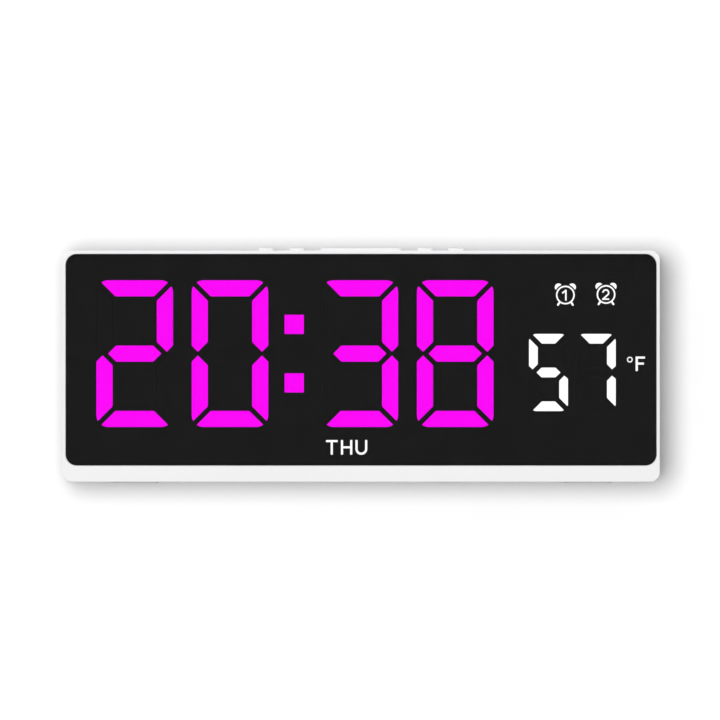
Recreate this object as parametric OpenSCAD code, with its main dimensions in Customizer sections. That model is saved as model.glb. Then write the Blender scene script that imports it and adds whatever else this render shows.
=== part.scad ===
// Digital LED clock with time, weekday, temperature and two alarm lamps, for a shelf or a wall.
// The front faces -Y, +Z is up, and the origin lies under the middle of the clock, on its feet.

/* [Time digits] */
// Digits that the time shows
time_shown = [2, 0, 3, 8]; // [0:1:9]
// Height of a time digit
digit_h = 61.4; // [50:0.1:75]
// Width of a time digit
digit_w = 32; // [27:0.1:40]
// Width of a time digit's strokes
digit_stroke = 6.7; // [5:0.1:9]
// Gap between neighbouring segments of a time digit
digit_cut = 2.2; // [1:0.05:2.5]
// Shift of the gaps at a time digit's corners towards its upright segments
digit_mitre = 0.35; // [0:0.05:0.8]
// Radius of a time digit's outer corners
digit_r = 5; // [1:0.1:7]
// Space between the two digits of a pair
digit_space = 7.9; // [4:0.1:12]
// Space between the hours and the minutes
colon_space = 22.4; // [14:0.1:30]
// Side of a colon dot
colon_dot = 8; // [5:0.1:12]
// Centre distance of the two colon dots
colon_pitch = 24.5; // [16:0.1:34]
// Offset of the colon from the middle between the hours and the minutes
colon_shift = -0.3; // [-2:0.1:2]

/* [Temperature digits] */
// Digits that the temperature shows
temperature_shown = [5, 7]; // [0:1:9]
// Height of a temperature digit
small_h = 32.3; // [24:0.1:42]
// Width of a temperature digit
small_w = 16.3; // [13:0.1:22]
// Width of a temperature digit's strokes
small_stroke = 3.85; // [3:0.05:5.5]
// Gap between neighbouring segments of a temperature digit
small_cut = 2.05; // [1:0.05:2.5]
// Shift of the gaps at a temperature digit's corners towards its upright segments
small_mitre = 0.25; // [0:0.05:0.6]
// Radius of a temperature digit's outer corners
small_r = 3.2; // [1:0.1:5]
// Space between the two temperature digits
small_space = 3.7; // [2:0.1:6]
// Space between the minutes and the temperature
small_gap = 14.9; // [8:0.1:20]
// Drop of the temperature's middle below the time's middle
small_drop = 7.9; // [0:0.1:12]

/* [Small lamps] */
// Width of the light cell behind a weekday
weekday_cell_w = 14; // [10:0.1:20]
// Height of the light cell behind a weekday
weekday_cell_h = 8; // [6:0.1:10]
// Distance from one weekday to the next
weekday_pitch = 28; // [22:0.1:32]
// Height of the weekdays' middle above the lens's lower edge
weekday_rise = 7.5; // [6:0.1:9]
// Offset of the middle weekday from the lens's middle
weekday_shift = -6; // [-12:0.1:6]
// Diameter of the light cell behind an alarm lamp
alarm_cell_d = 13; // [10:0.1:14]
// Distance between the two alarm lamps
alarm_pitch = 17; // [15:0.1:22]
// Offset of the alarm lamps to the right of the temperature's middle
alarm_shift = 5.6; // [0:0.1:8]
// Drop of the alarm lamps below the lens's upper edge
alarm_drop = 17.2; // [14:0.1:20]
// Side of the light cell behind the degree sign
degree_cell = 9; // [6:0.1:10]
// Drop of the degree sign below the time's middle
degree_drop = 4; // [0:0.1:8]

/* [Lens] */
// Lens left of the first digit
margin_left = 12.8; // [9:0.1:20]
// Lens right of the last digit
margin_right = 17; // [14:0.1:24]
// Lens above the time digits
margin_top = 10.9; // [8:0.1:16]
// Lens below the time digits
margin_bottom = 16.1; // [13:0.1:22]
// Thickness of the lens
lens_t = 2; // [1.2:0.1:3]
// Corner radius of the lens
lens_r = 4.6; // [3:0.1:8]
// Chamfer round the front of the lens
lens_chamfer = 0.3; // [0.1:0.05:0.5]
// Gap between the lens and its frame
lens_gap = 0.12; // [0.05:0.01:0.3]
// Depth of the lens's face behind the frame
lens_recess = 0.1; // [0:0.05:0.5]
// Thickness of the tape that holds the lens
tape_t = 0.3; // [0.15:0.05:0.6]
// Gap between that tape and the lens, for the adhesive
tape_gap = 0.03; // [0.02:0.01:0.06]
// Width of the ledge behind the lens
ledge_w = 2.2; // [1.5:0.1:3.5]
// Thickness of the ledge behind the lens
ledge_t = 1.8; // [1.2:0.1:3]

/* [Shell] */
// Width of the frame beside the lens
side_rim = 1.28; // [1:0.01:3]
// Width of the frame above the lens
top_rim = 1.4; // [1:0.01:3]
// Height of the chin below the lens
chin = 6.8; // [5:0.1:12]
// Wall thickness of both housings
wall = 2.2; // [1.8:0.1:3]
// Corner radius of the shell
corner_r = 4; // [3.2:0.1:8]
// Rounding of the front edge
front_fillet = 0.3; // [0.3:0.1:1]
// Bevel round the frame's edge at the lens
rim_bevel = 0.15; // [0.1:0.05:0.5]
// Rounding of the rear edge
rear_fillet = 3; // [1:0.1:3.1]
// Depth of the rear cover
rear_cover_d = 8; // [6.5:0.1:12]
// Thickness of the rear cover's lip
lip_t = 1.05; // [0.8:0.05:1.2]
// Reach of the rear cover's lip into the front housing
lip_d = 2.5; // [1.5:0.1:4]
// Gap round the rear cover's lip
lip_gap = 0.15; // [0.05:0.01:0.3]
// Depth and width of the shadow line between the housings
shadow_line = 0.4; // [0.2:0.05:0.6]

/* [Feet] */
// Length of a foot pad
foot_w = 20; // [12:0.5:30]
// Width of a foot pad
foot_d = 6; // [4:0.1:8]
// Thickness of a foot pad
foot_t = 1.3; // [1.1:0.1:2]
// Height that a foot pad stands proud
foot_proud = 0.4; // [0.4:0.05:0.9]
// Distance of a foot pad's middle from the shell's side
foot_inset = 30; // [20:0.5:50]

/* [Buttons] */
// Width of the snooze bar
snooze_w = 34.1; // [24:0.1:44]
// Depth of the snooze bar
snooze_d = 8; // [6:0.1:10]
// Corner radius of the snooze bar
snooze_r = 3; // [2:0.1:3]
// Diameter of a round button
button_dia = 6.4; // [5:0.1:8]
// Distance from the clock's middle to the inner buttons
button_inner_x = 26.8; // [24:0.1:32]
// Distance from an inner button to its outer neighbour
button_pitch = 13; // [11:0.1:18]
// Height of the buttons above the shell
button_proud = 1.1; // [0.8:0.05:2]
// Rounding of the buttons' upper edge
button_fillet = 0.3; // [0.2:0.05:0.7]
// Gap round a button in its hole
button_gap = 0.2; // [0.1:0.05:0.4]
// Width of the flange that keeps a button in
flange_w = 1; // [0.6:0.1:1.4]
// Thickness of that flange
flange_t = 1.2; // [0.8:0.1:2]
// Travel of a button
press_travel = 0.5; // [0.3:0.05:0.7]
// Length of a button's stem below its flange
stem_len = 0.94; // [0.5:0.02:2]
// Diameter of a button's stem
stem_dia = 3.2; // [2.4:0.1:3.4]
// Side of a key switch
switch_side = 6; // [5:0.1:6.5]
// Height of a key switch's body
switch_body_h = 3.5; // [3:0.1:5]
// Distance between a key switch's two rows of legs
switch_leg_pitch = 4.5; // [3.5:0.1:5]
// Width of a key switch's leg
switch_leg_w = 0.7; // [0.5:0.05:0.9]
// Reach of a key switch's legs beside its body
switch_leg_out = 1; // [0.6:0.1:1.5]
// Diameter of a key switch's plunger
plunger_dia = 3.5; // [2.8:0.1:3.8]
// Height of the plunger above the switch's body
plunger_proud = 1.5; // [1:0.1:2.5]
// Depth of the plunger inside the switch's body
plunger_in = 0.8; // [0.6:0.1:1.2]
// Gap round a plunger
plunger_gap = 0.05; // [0.03:0.01:0.1]

/* [Display stack] */
// Thickness of the black display mask
mask_t = 0.3; // [0.2:0.05:0.6]
// Depth of the reflector frame
reflector_d = 9; // [6:0.1:14]
// Thickness of the reflector frame's front plate
reflector_face_t = 3.5; // [2.2:0.1:5]
// Thickness of the reflector frame's walls
reflector_wall = 1.2; // [0.8:0.1:1.6]
// Length of a segment's diffuser
diffuser_d = 3.3; // [2:0.1:5]
// Gap round a diffuser in its cell
cell_gap = 0.1; // [0.05:0.01:0.2]
// Gap between the display stack and the window behind the lens
stack_gap = 0.3; // [0.2:0.05:0.6]
// Length of a display LED
led_l = 3.5; // [2:0.1:3.6]
// Width of a display LED
led_w = 2.8; // [1.6:0.1:3]
// Height of a display LED
led_h = 1.9; // [0.8:0.1:2.5]

/* [Circuit boards] */
// Thickness of the circuit boards
board_t = 1.6; // [1:0.1:2]
// Gap between the display board's edge and the shell
board_gap = 0.6; // [0.4:0.1:1.2]
// Width of the control board
control_w = 96; // [90:1:120]
// Height of the control board
control_h = 46; // [44:1:60]
// Height of the control board's middle above the shell's underside
control_rise = 39.4; // [34:0.1:45]
// Length of the posts that carry the control board
post_len = 8.2; // [8:0.1:10]
// Width of the key board beyond the outer buttons
key_board_side = 13.2; // [12:0.1:20]
// Free space before and behind the snooze bar's flange
key_bay_clear = 1.1; // [0.8:0.1:3]

/* [Electronics] */
// Length of a display driver chip
driver_l = 15.4; // [9:0.1:18]
// Length of the microcontroller
controller_l = 17.9; // [10:0.1:20]
// Width of the chips' bodies
chip_w = 7.5; // [3.9:0.1:8]
// Height of the chips
chip_h = 2.4; // [1.5:0.1:2.6]
// Distance from one chip leg to the next
leg_pitch = 1.27; // [1:0.01:1.5]
// Reach of a chip leg beside the chip's body
leg_out = 1.5; // [1:0.1:2]
// Diameter of the quartz crystal's can
crystal_dia = 3; // [2:0.1:3.5]
// Length of the quartz crystal's can
crystal_l = 8; // [5:0.1:9]
// Diameter of the smoothing capacitor
capacitor_dia = 6.3; // [4:0.1:7]
// Height of the smoothing capacitor
capacitor_h = 7; // [5:0.1:7.6]
// Diameter of the crystal's and the sensor's leads
lead_dia = 0.45; // [0.3:0.05:0.6]
// Diameter of the temperature sensor's bead
sensor_dia = 2.4; // [1.6:0.1:3]
// Height of the temperature sensor's bead above the control board
sensor_h = 4.5; // [3:0.1:6]
// Distance from one connector pin to the next
pin_pitch = 2.54; // [2:0.01:2.6]
// Corner cut between the blocks of a pin row
pin_notch = 0.5; // [0.2:0.1:0.8]
// Pins in a row of the connector between the boards
connector_pins = 8; // [4:1:9]
// Height of the connector between the boards
connector_h = 5; // [2.5:0.1:5.2]
// Depth of that connector's pin row, under its socket
connector_base = 2.5; // [2:0.1:4]
// Pins of the key board's header
header_pins = 6; // [4:1:8]
// Height and depth of the key board's header
header_side = 2.5; // [2:0.1:3]

/* [Fasteners] */
// Diameter of the cover screws' thread
cover_screw_dia = 2.9; // [2.4:0.1:3.2]
// Diameter of the cover screws' head
cover_head_dia = 5.6; // [4.6:0.1:5.8]
// Height of the cover screws' head
cover_head_h = 1.8; // [1.2:0.1:2.5]
// Length of the cover screws' thread
cover_screw_len = 12; // [8:0.5:13]
// Outer diameter of the bosses for the cover screws
cover_boss_dia = 8; // [7.8:0.1:9]
// Thickness of the rear cover under a cover screw's head
cover_seat_t = 3; // [2:0.1:4]
// Diameter of the board screws' thread
board_screw_dia = 2.2; // [1.8:0.1:2.4]
// Diameter of the board screws' head
board_head_dia = 4.4; // [3.6:0.1:4.6]
// Height of the board screws' head
board_head_h = 1.5; // [1:0.1:2]
// Length of the board screws' thread
board_screw_len = 6; // [4:0.5:7]
// Outer diameter of the bosses for the board screws
board_boss_dia = 5.2; // [4.8:0.1:5.4]
// Radial gap round a screw's thread in a boss
thread_gap = 0.05; // [0.03:0.01:0.1]
// Radial gap round a screw's thread in a board or a cover
pass_gap = 0.15; // [0.1:0.05:0.3]

/* [Backup cell] */
// Diameter of the coin cell
cell_dia = 20; // [16:0.5:22]
// Height of the coin cell
cell_h = 3.2; // [1.6:0.1:3.6]
// Distance of the coin cell from the clock's middle
cell_x = 28; // [26:0.5:30]
// Gap between the coin cell and its door
cell_gap_y = 0.3; // [0.2:0.05:0.5]
// Thickness of the coin cell's contact
contact_t = 0.6; // [0.3:0.05:0.8]
// Thickness of the door's plate
door_plate_t = 3.1; // [2.6:0.1:3.6]
// Thickness of the door's flange
door_flange_t = 1.3; // [1:0.05:1.4]
// Width of the door's flange outside its skirt
door_flange_w = 1.6; // [1.2:0.1:2]
// Depth of the door's skirt over the cell
door_skirt = 2.5; // [2.3:0.1:2.7]
// Thickness of the door's skirt
door_skirt_t = 1.1; // [0.8:0.1:1.5]
// Gap round the door
door_gap = 0.2; // [0.1:0.05:0.3]
// Thickness of the door's locking lugs
lug_t = 1.4; // [1:0.1:1.6]
// Reach of the door's locking lugs
lug_w = 1.3; // [0.9:0.1:1.5]
// Angle that a locking lug covers
lug_angle = 30; // [20:1:36]
// Turn that opens the door
door_turn = 60; // [45:1:75]
// Width of the door's coin slot
coin_slot_w = 2; // [1.6:0.1:2.6]
// Depth of the door's coin slot
coin_slot_d = 1.3; // [0.8:0.1:1.6]

/* [Power inlet] */
// Width of the power socket's metal shell
socket_w = 8.94; // [8.9:0.01:9.2]
// Height of the power socket's metal shell
socket_h = 3.26; // [3.2:0.01:3.4]
// Wall of the power socket's metal shell
socket_wall = 0.3; // [0.25:0.01:0.35]
// Depth of the power socket
socket_depth = 6.2; // [6:0.1:6.6]
// Width of the power socket's contact tongue
tongue_w = 6.7; // [6:0.1:6.8]
// Thickness of the power socket's contact tongue
tongue_t = 0.7; // [0.6:0.05:0.8]
// Gap between the power socket and the rear cover
socket_gap = 0.28; // [0.2:0.02:0.5]
// Height of the power socket above the control board's lower edge
socket_rise = 7; // [5:0.1:9]

/* [Wall mount] */
// Distance between the two keyholes
keyhole_spacing = 150; // [120:1:160]
// Drop of the keyholes below the shell's top
keyhole_drop = 24; // [20:0.5:30]
// Diameter of a keyhole's entry
keyhole_dia = 8.4; // [7:0.1:10]
// Width of a keyhole's slot
keyhole_slot_w = 4.4; // [4.2:0.1:5]
// Length of a keyhole's slot
keyhole_slot_l = 8; // [6:0.1:10]
// Depth of the pocket behind a keyhole
keyhole_pocket_d = 5.2; // [4.5:0.1:5.6]
// Wall of the pocket behind a keyhole
keyhole_pocket_wall = 1.2; // [1:0.1:1.6]

/* [Rear openings] */
// Diameter of the sounder
sounder_dia = 12; // [9:0.5:14]
// Height of the sounder
sounder_h = 7.4; // [5:0.1:7.6]
// Diameter of the sound grille
grille_dia = 18; // [12:0.5:22]
// Width of a slot in the sound grille or the air vent
slot_w = 1.6; // [1:0.1:2]
// Distance from one such slot to the next
slot_pitch = 3.2; // [2.6:0.1:4]
// Length of an air vent slot
vent_l = 8; // [5:0.1:9]
// Air vent slots
vent_count = 4; // [2:1:5]

/* [Hidden] */
$fn = 64;

// Colours as the photograph shows them, and usual ones for what is hidden
white_plastic = [0.94, 0.94, 0.94];
lens_black = [0.02, 0.02, 0.02, 0.6];
deep_black = [0.03, 0.03, 0.03];
lit_magenta = [0.98, 0, 0.97];
lit_white = [0.98, 0.98, 1];
unlit_grey = [0.1, 0.1, 0.1];
board_green = [0.07, 0.3, 0.16];
steel = [0.7, 0.7, 0.72];
gold = [0.8, 0.65, 0.3];
silicone_clear = [0.8, 0.8, 0.8];

// Segments that each digit from 0 to 9 lights, in the usual letters
lit_letters = ["abcdef", "bc", "abged", "abgcd", "fgbc", "afgcd", "afgedc", "abc", "abcdefg", "abcdfg"];
all_letters = "abcdefg";

// A cut that has to break through a face reaches past it by this much
over = 1;
// Room left in a hole past the tip of its screw
tip_room = 0.5;

// Lens and shell, from the display that they hold
lens_w = margin_left + 4 * digit_w + 2 * digit_space + colon_space + small_gap
    + 2 * small_w + small_space + margin_right;
lens_h = margin_top + digit_h + margin_bottom;
shell_w = lens_w + 2 * (lens_gap + side_rim);
shell_h = lens_h + 2 * lens_gap + top_rim + chin;
shell_z0 = foot_proud;
shell_z1 = shell_z0 + shell_h;
shell_zc = (shell_z0 + shell_z1) / 2;
lens_z0 = shell_z0 + chin + lens_gap;
lens_zc = lens_z0 + lens_h / 2;
inner_w = shell_w - 2 * wall;
inner_h = shell_h - 2 * wall;
inner_r = max(corner_r - wall, 0.5);
inner_z0 = shell_z0 + wall;
inner_z1 = shell_z1 - wall;
window_w = lens_w - 2 * ledge_w;
window_h = lens_h - 2 * ledge_w;
window_r = max(lens_r - ledge_w, 0.5);
stack_w = window_w - 2 * stack_gap;
stack_h = window_h - 2 * stack_gap;
stack_r = window_r;

// Depths, from the front face to the rear face
key_bay = snooze_d + 2 * flange_w + 2 * key_bay_clear;
shell_d = lens_recess + lens_t + tape_t + mask_t + reflector_d + board_t + key_bay + lip_d + rear_cover_d;
front_y = -shell_d / 2;
rear_y = shell_d / 2;
lens_y0 = front_y + lens_recess;
lens_y1 = lens_y0 + lens_t;
ledge_y0 = lens_y1 + tape_t;
ledge_y1 = ledge_y0 + ledge_t;
mask_y0 = ledge_y0;
reflector_y0 = mask_y0 + mask_t;
display_y0 = reflector_y0 + reflector_d;
display_y1 = display_y0 + board_t;
parting_y = rear_y - rear_cover_d;
lip_y = parting_y - lip_d;
rear_inner_y = rear_y - wall;
control_y1 = rear_inner_y - post_len;
control_y0 = control_y1 - board_t;
button_y = display_y1 + key_bay / 2;

// Places of the digits, each as its middle
hour_tens_x = -lens_w / 2 + margin_left + digit_w / 2;
hour_units_x = hour_tens_x + digit_w + digit_space;
minute_tens_x = hour_units_x + digit_w + colon_space;
minute_units_x = minute_tens_x + digit_w + digit_space;
colon_x = (hour_units_x + minute_tens_x) / 2 + colon_shift;
time_x = [hour_tens_x, hour_units_x, minute_tens_x, minute_units_x];
temperature_tens_x = minute_units_x + digit_w / 2 + small_gap + small_w / 2;
temperature_units_x = temperature_tens_x + small_w + small_space;
temperature_x = [temperature_tens_x, temperature_units_x];
digit_z = lens_z0 + margin_bottom + digit_h / 2;
small_z = digit_z - small_drop;
alarm_x = (temperature_tens_x + temperature_units_x) / 2 + alarm_shift;
alarm_z = lens_z0 + lens_h - alarm_drop;
weekday_z = lens_z0 + weekday_rise;
degree_x = (temperature_units_x + small_w / 2 + stack_w / 2) / 2;
degree_z = digit_z - degree_drop;

// Buttons and what lies under them, from the top down
flange_gap = button_gap / 2;
flange_z1 = inner_z1 - flange_gap;
flange_z0 = flange_z1 - flange_t;
plunger_z1 = flange_z0 - stem_len;
switch_z1 = plunger_z1 - plunger_proud;
key_board_z1 = switch_z1 - switch_body_h;
key_board_z0 = key_board_z1 - board_t;
plunger_z0 = switch_z1 - plunger_in;
switch_bore_z0 = plunger_z0 - 1.5 * press_travel;
button_outer_x = button_inner_x + button_pitch;
button_x = [-button_outer_x, -button_inner_x, button_inner_x, button_outer_x];
switch_x = concat([0], button_x);
key_board_w = 2 * (button_outer_x + key_board_side);
key_board_y0 = display_y1;
key_board_y1 = lip_y - key_bay_clear / 2;
key_screw_x = button_outer_x + button_dia / 2 + flange_w + board_boss_dia / 2 + button_gap;

// Cover screws, in the four corners
cover_boss_inset = cover_boss_dia / 2 + pass_gap;
cover_screw_x = inner_w / 2 - cover_boss_inset;
cover_screw_z = [inner_z0 + cover_boss_inset, inner_z1 - cover_boss_inset];
cover_join_y = lip_y + lip_gap;
cover_seat_y = cover_join_y + cover_seat_t;
cover_boss_y0 = display_y1 + board_t;
rib_t = 0.7 * wall;

// Display board's screws, in the chin
display_screw_x = [-0.32 * shell_w, 0, 0.32 * shell_w];
display_screw_z = inner_z0 + board_boss_dia / 2 + pass_gap;
hook_x = 0.28 * shell_w;
hook_w = 12;
hook_h = 1.5 * wall;
hook_t = wall;
hook_gap = cell_gap;

// Keyholes, and the room that their pockets leave beside a screw head
keyhole_z = shell_z1 - keyhole_drop;
keyhole_room = 1;

// Control board and what stands on it
control_z = shell_z0 + control_rise;
post_inset = 4;
post_x = control_w / 2 - post_inset;
post_z = control_h / 2 - post_inset;
socket_z = control_z - control_h / 2 + socket_rise;
socket_y1 = rear_y - socket_gap;
sounder_y1 = control_y1 + sounder_h;
cell_z = control_z + 2;
sounder_x = -cell_x;
sounder_z = cell_z;
connector_x = -0.3 * control_w;
connector_z = control_z - control_h / 2 + post_inset + board_boss_dia;
vent_x = post_x - board_boss_dia;
vent_z = control_z - control_h / 2;

// Coin cell, its holder and its door, along the depth
door_y1 = rear_y - door_gap / 2;
door_inner_y = door_y1 - door_plate_t;
cell_y1 = door_inner_y - cell_gap_y;
cell_y0 = cell_y1 - cell_h;
contact_y0 = cell_y0 - contact_t;
door_flange_y0 = door_y1 - door_flange_t;
skirt_y0 = door_inner_y - door_skirt;
holder_gap = 1.2 * door_gap;
holder_rim_y1 = cell_y0 + 0.2 * cell_h;
skirt_inner_r = cell_dia / 2 + cell_gap_y;
skirt_r = skirt_inner_r + door_skirt_t;
holder_r = skirt_r - door_gap;
door_r = skirt_r + door_flange_w;
door_bore_r = skirt_r + door_gap;
door_recess_r = door_r + door_gap;
lug_clear_angle = 2;
collar_r = door_recess_r + 0.8 * wall;
collar_y0 = skirt_y0 - wall / 2;

// Plan outlines

module rounded(w, h, r) {
    square([w - 2 * r, h], center = true);
    square([w, h - 2 * r], center = true);
    for (x = [-1, 1], y = [-1, 1])
        translate([x * (w / 2 - r), y * (h / 2 - r)]) circle(r);
}

module quarter_disc(r) {
    intersection() {
        circle(r);
        square(r);
    }
}

// One seven-segment stroke; the corner gaps lie m off the diagonals, and grow widens it on every side
module segment(letter, w, h, s, cut, m, r, grow = 0) {
    hw = w / 2 + grow;
    hh = h / 2 + grow;
    t = s + 2 * grow;
    k = (cut - 2 * grow) / sqrt(2);
    m_bar = k - m;
    m_post = k + m;
    bar = [[m_bar - hw, hh], [hw - m_bar, hh], [hw - t - m_bar, hh - t], [t + m_bar - hw, hh - t]];
    post = [[hw, hh - m_post], [hw, t / 2], [hw - (t - k) / 2, k / 2], [hw - t, t / 2 + k],
        [hw - t, hh - t - m_post]];
    middle = [[hw - t / 2 - k, 0], [hw - t - k, t / 2], [-hw + t + k, t / 2],
        [-hw + t / 2 + k, 0], [-hw + t + k, -t / 2], [hw - t - k, -t / 2]];
    flip_x = letter == "e" || letter == "f" ? -1 : 1;
    flip_y = letter == "c" || letter == "d" || letter == "e" ? -1 : 1;
    points = letter == "a" || letter == "d" ? bar : letter == "g" ? middle : post;
    intersection() {
        rounded(2 * hw, 2 * hh, r + grow);
        polygon([for (p = points) [flip_x * p[0], flip_y * p[1]]]);
    }
}

module time_segment(letter, grow = 0) {
    segment(letter, digit_w, digit_h, digit_stroke, digit_cut, digit_mitre, digit_r, grow);
}

module temperature_segment(letter, grow = 0) {
    segment(letter, small_w, small_h, small_stroke, small_cut, small_mitre, small_r, grow);
}

module keyhole_outline() {
    circle(d = keyhole_dia);
    translate([0, keyhole_slot_l]) circle(d = keyhole_slot_w);
    translate([-keyhole_slot_w / 2, 0]) square([keyhole_slot_w, keyhole_slot_l]);
}

module slot_outline(l, w) {
    square([w, l - w], center = true);
    for (s = [-1, 1]) translate([0, s * (l - w) / 2]) circle(d = w);
}

module socket_outline(grow = 0) {
    rotate(90) slot_outline(socket_w + 2 * grow, socket_h + 2 * grow);
}

// A row of blocks for pins, side by side, with their corners cut
module pin_row(count, h) {
    x = pin_pitch / 2;
    y = h / 2;
    c = pin_notch;
    for (i = [0 : count - 1]) translate([(i - (count - 1) / 2) * pin_pitch, 0])
        polygon([
            [c - x, -y], [x - c, -y], [x, c - y], [x, y - c],
            [x - c, y], [c - x, y], [-x, y - c], [-x, c - y]
        ]);
}

// Solids

// A plate from y0 to y1 with its children as its front view
module plate(y0, y1) {
    translate([0, y1, 0]) rotate([90, 0, 0]) linear_extrude(y1 - y0) children();
}

// A turned piece or a rod along +Y: children are drawn upright, and stand at (x, y, z)
module facing_rear(x, y, z) {
    translate([x, y, z]) rotate([-90, 0, 0]) children();
}

module rod_y(x, z, y0, y1, d) {
    facing_rear(x, y0, z) cylinder(d = d, h = y1 - y0);
}

// Sweeps a profile round a rounded rectangle; the profile's +X points outwards and its +Y up
module edge_sweep(w, h, r) {
    for (turn = [0, 180]) rotate(turn) {
        translate([r - w / 2, h / 2, 0]) rotate([90, 0, 90]) linear_extrude(w - 2 * r) children();
        translate([w / 2, h / 2 - r, 0]) rotate([90, 0, 0]) linear_extrude(h - 2 * r) children();
    }
    for (turn = [0 : 90 : 270]) {
        x = turn == 0 || turn == 270 ? 1 : -1;
        y = turn < 180 ? 1 : -1;
        translate([x * (w / 2 - r), y * (h / 2 - r), 0]) rotate(turn)
            rotate_extrude(angle = 90) translate([r, 0]) children();
    }
}

// An upright rounded slab whose upper edge is rounded by f
module soft_slab(w, h, r, t, f) {
    linear_extrude(t - f) rounded(w, h, r);
    translate([0, 0, t - f]) {
        linear_extrude(f) rounded(w - 2 * f, h - 2 * f, r - f);
        edge_sweep(w - 2 * f, h - 2 * f, r - f) quarter_disc(f);
    }
}

// An upright rounded slab whose upper edge is bevelled by c
module bevelled_slab(w, h, r, t, c) {
    linear_extrude(t - c) rounded(w, h, r);
    translate([0, 0, t - c]) {
        linear_extrude(c) rounded(w - 2 * c, h - 2 * c, r - c);
        edge_sweep(w - 2 * c, h - 2 * c, r - c) polygon([[0, 0], [c, 0], [0, c]]);
    }
}

// Shell

module cover_bosses() {
    for (x = [-1, 1], z = cover_screw_z) {
        up = z > shell_zc ? 1 : -1;
        rod_y(x * cover_screw_x, z, cover_boss_y0, cover_join_y, cover_boss_dia);
        plate(cover_boss_y0, lip_y) translate([x * cover_screw_x, z]) {
            translate([-rib_t / 2, up > 0 ? 0 : -cover_boss_inset]) square([rib_t, cover_boss_inset]);
            translate([x > 0 ? 0 : -cover_boss_inset, -rib_t / 2]) square([cover_boss_inset, rib_t]);
        }
    }
}

module front_housing() {
    rabbet = lip_t + lip_gap;
    color(white_plastic) difference() {
        union() {
            difference() {
                translate([0, parting_y, shell_zc]) rotate([90, 0, 0])
                    soft_slab(shell_w, shell_h, corner_r, parting_y - front_y, front_fillet);
                plate(ledge_y1, parting_y + over) translate([0, shell_zc]) rounded(inner_w, inner_h, inner_r);
                plate(lip_y, parting_y + over) translate([0, shell_zc])
                    rounded(inner_w + 2 * rabbet, inner_h + 2 * rabbet, inner_r + lip_t);
                plate(front_y - over, ledge_y0) translate([0, lens_zc])
                    rounded(lens_w + 2 * lens_gap, lens_h + 2 * lens_gap, lens_r + lens_gap);
                plate(front_y - over, ledge_y1 + over) translate([0, lens_zc])
                    rounded(window_w, window_h, window_r);
                translate([0, front_y, lens_zc]) rotate([90, 0, 0])
                    edge_sweep(lens_w + 2 * lens_gap, lens_h + 2 * lens_gap, lens_r + lens_gap)
                        polygon([
                            [-over, -rim_bevel], [0, -rim_bevel], [rim_bevel + over, over], [-over, over]
                        ]);
            }
            cover_bosses();
            for (x = display_screw_x) {
                rod_y(x, display_screw_z, ledge_y1, display_y0, board_boss_dia);
            }
            for (x = [-hook_x, hook_x])
                translate([x - hook_w / 2, display_y1 + hook_gap, inner_z1 - hook_h])
                    cube([hook_w, hook_t, hook_h + wall / 2]);
            for (x = [-key_screw_x, key_screw_x])
                translate([x, button_y, key_board_z1])
                    cylinder(d = board_boss_dia, h = inner_z1 + wall / 2 - key_board_z1);
        }
        for (x = [-1, 1], z = cover_screw_z)
            rod_y(x * cover_screw_x, z, cover_seat_y - cover_screw_len - tip_room, cover_join_y + over,
                cover_screw_dia + 2 * thread_gap);
        for (x = display_screw_x)
            rod_y(x, display_screw_z, display_y1 - board_screw_len - tip_room, display_y0 + over,
                board_screw_dia + 2 * thread_gap);
        for (x = [-key_screw_x, key_screw_x])
            translate([x, button_y, key_board_z0])
                cylinder(d = board_screw_dia + 2 * thread_gap, h = board_screw_len + tip_room);
        for (x = button_x)
            translate([x, button_y, inner_z1 - over])
                cylinder(d = button_dia + 2 * button_gap, h = wall + 2 * over);
        translate([0, button_y, inner_z1 - over]) linear_extrude(wall + 2 * over)
            rounded(snooze_w + 2 * button_gap, snooze_d + 2 * button_gap, snooze_r + button_gap);
        foot_places() translate([0, 0, -over]) linear_extrude(foot_t + over)
            rotate(90) slot_outline(foot_w + 2 * lip_gap, foot_d + 2 * lip_gap);
    }
}

module rear_slots() {
    grille_half = floor((grille_dia / 2 - slot_w / 2) / slot_pitch);
    for (i = [-grille_half : grille_half])
        translate([sounder_x + i * slot_pitch, sounder_z])
            slot_outline(2 * sqrt(pow(grille_dia / 2, 2) - pow(i * slot_pitch, 2)), slot_w);
    for (i = [0 : vent_count - 1])
        translate([vent_x - i * slot_pitch, vent_z]) slot_outline(vent_l, slot_w);
}

module keyhole_pocket(grow) {
    pocket_w = keyhole_dia + 2 * (keyhole_room + grow);
    translate([0, keyhole_slot_l / 2]) rounded(pocket_w, pocket_w + keyhole_slot_l, keyhole_room + grow);
}

// The collar that the coin cell's door locks into, drawn with +Z towards the rear
module door_collar_cuts() {
    half = lug_angle / 2 + lug_clear_angle;
    entry_half = lug_angle / 2 + lug_clear_angle / 2;
    root_r = skirt_r - door_skirt_t / 2;
    lock_r = skirt_r + lug_w + door_gap;
    entry_r = lock_r - door_gap / 4;
    translate([0, 0, collar_y0 - over]) cylinder(r = door_bore_r, h = rear_y - collar_y0 + 2 * over);
    translate([0, 0, door_flange_y0 - door_gap / 2])
        cylinder(r = door_recess_r, h = rear_y - door_flange_y0 + over);
    for (turn = [0, 180]) rotate(turn) {
        translate([0, 0, skirt_y0 - door_gap]) rotate(-half) rotate_extrude(angle = door_turn + 2 * half)
            translate([root_r, 0]) square([lock_r - root_r, lug_t + 2 * door_gap]);
        translate([0, 0, skirt_y0 + lug_t / 2]) rotate(door_turn - entry_half)
            rotate_extrude(angle = 2 * entry_half)
                translate([root_r, 0]) square([entry_r - root_r, door_y1 - skirt_y0 - lug_t / 2]);
    }
}

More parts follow.
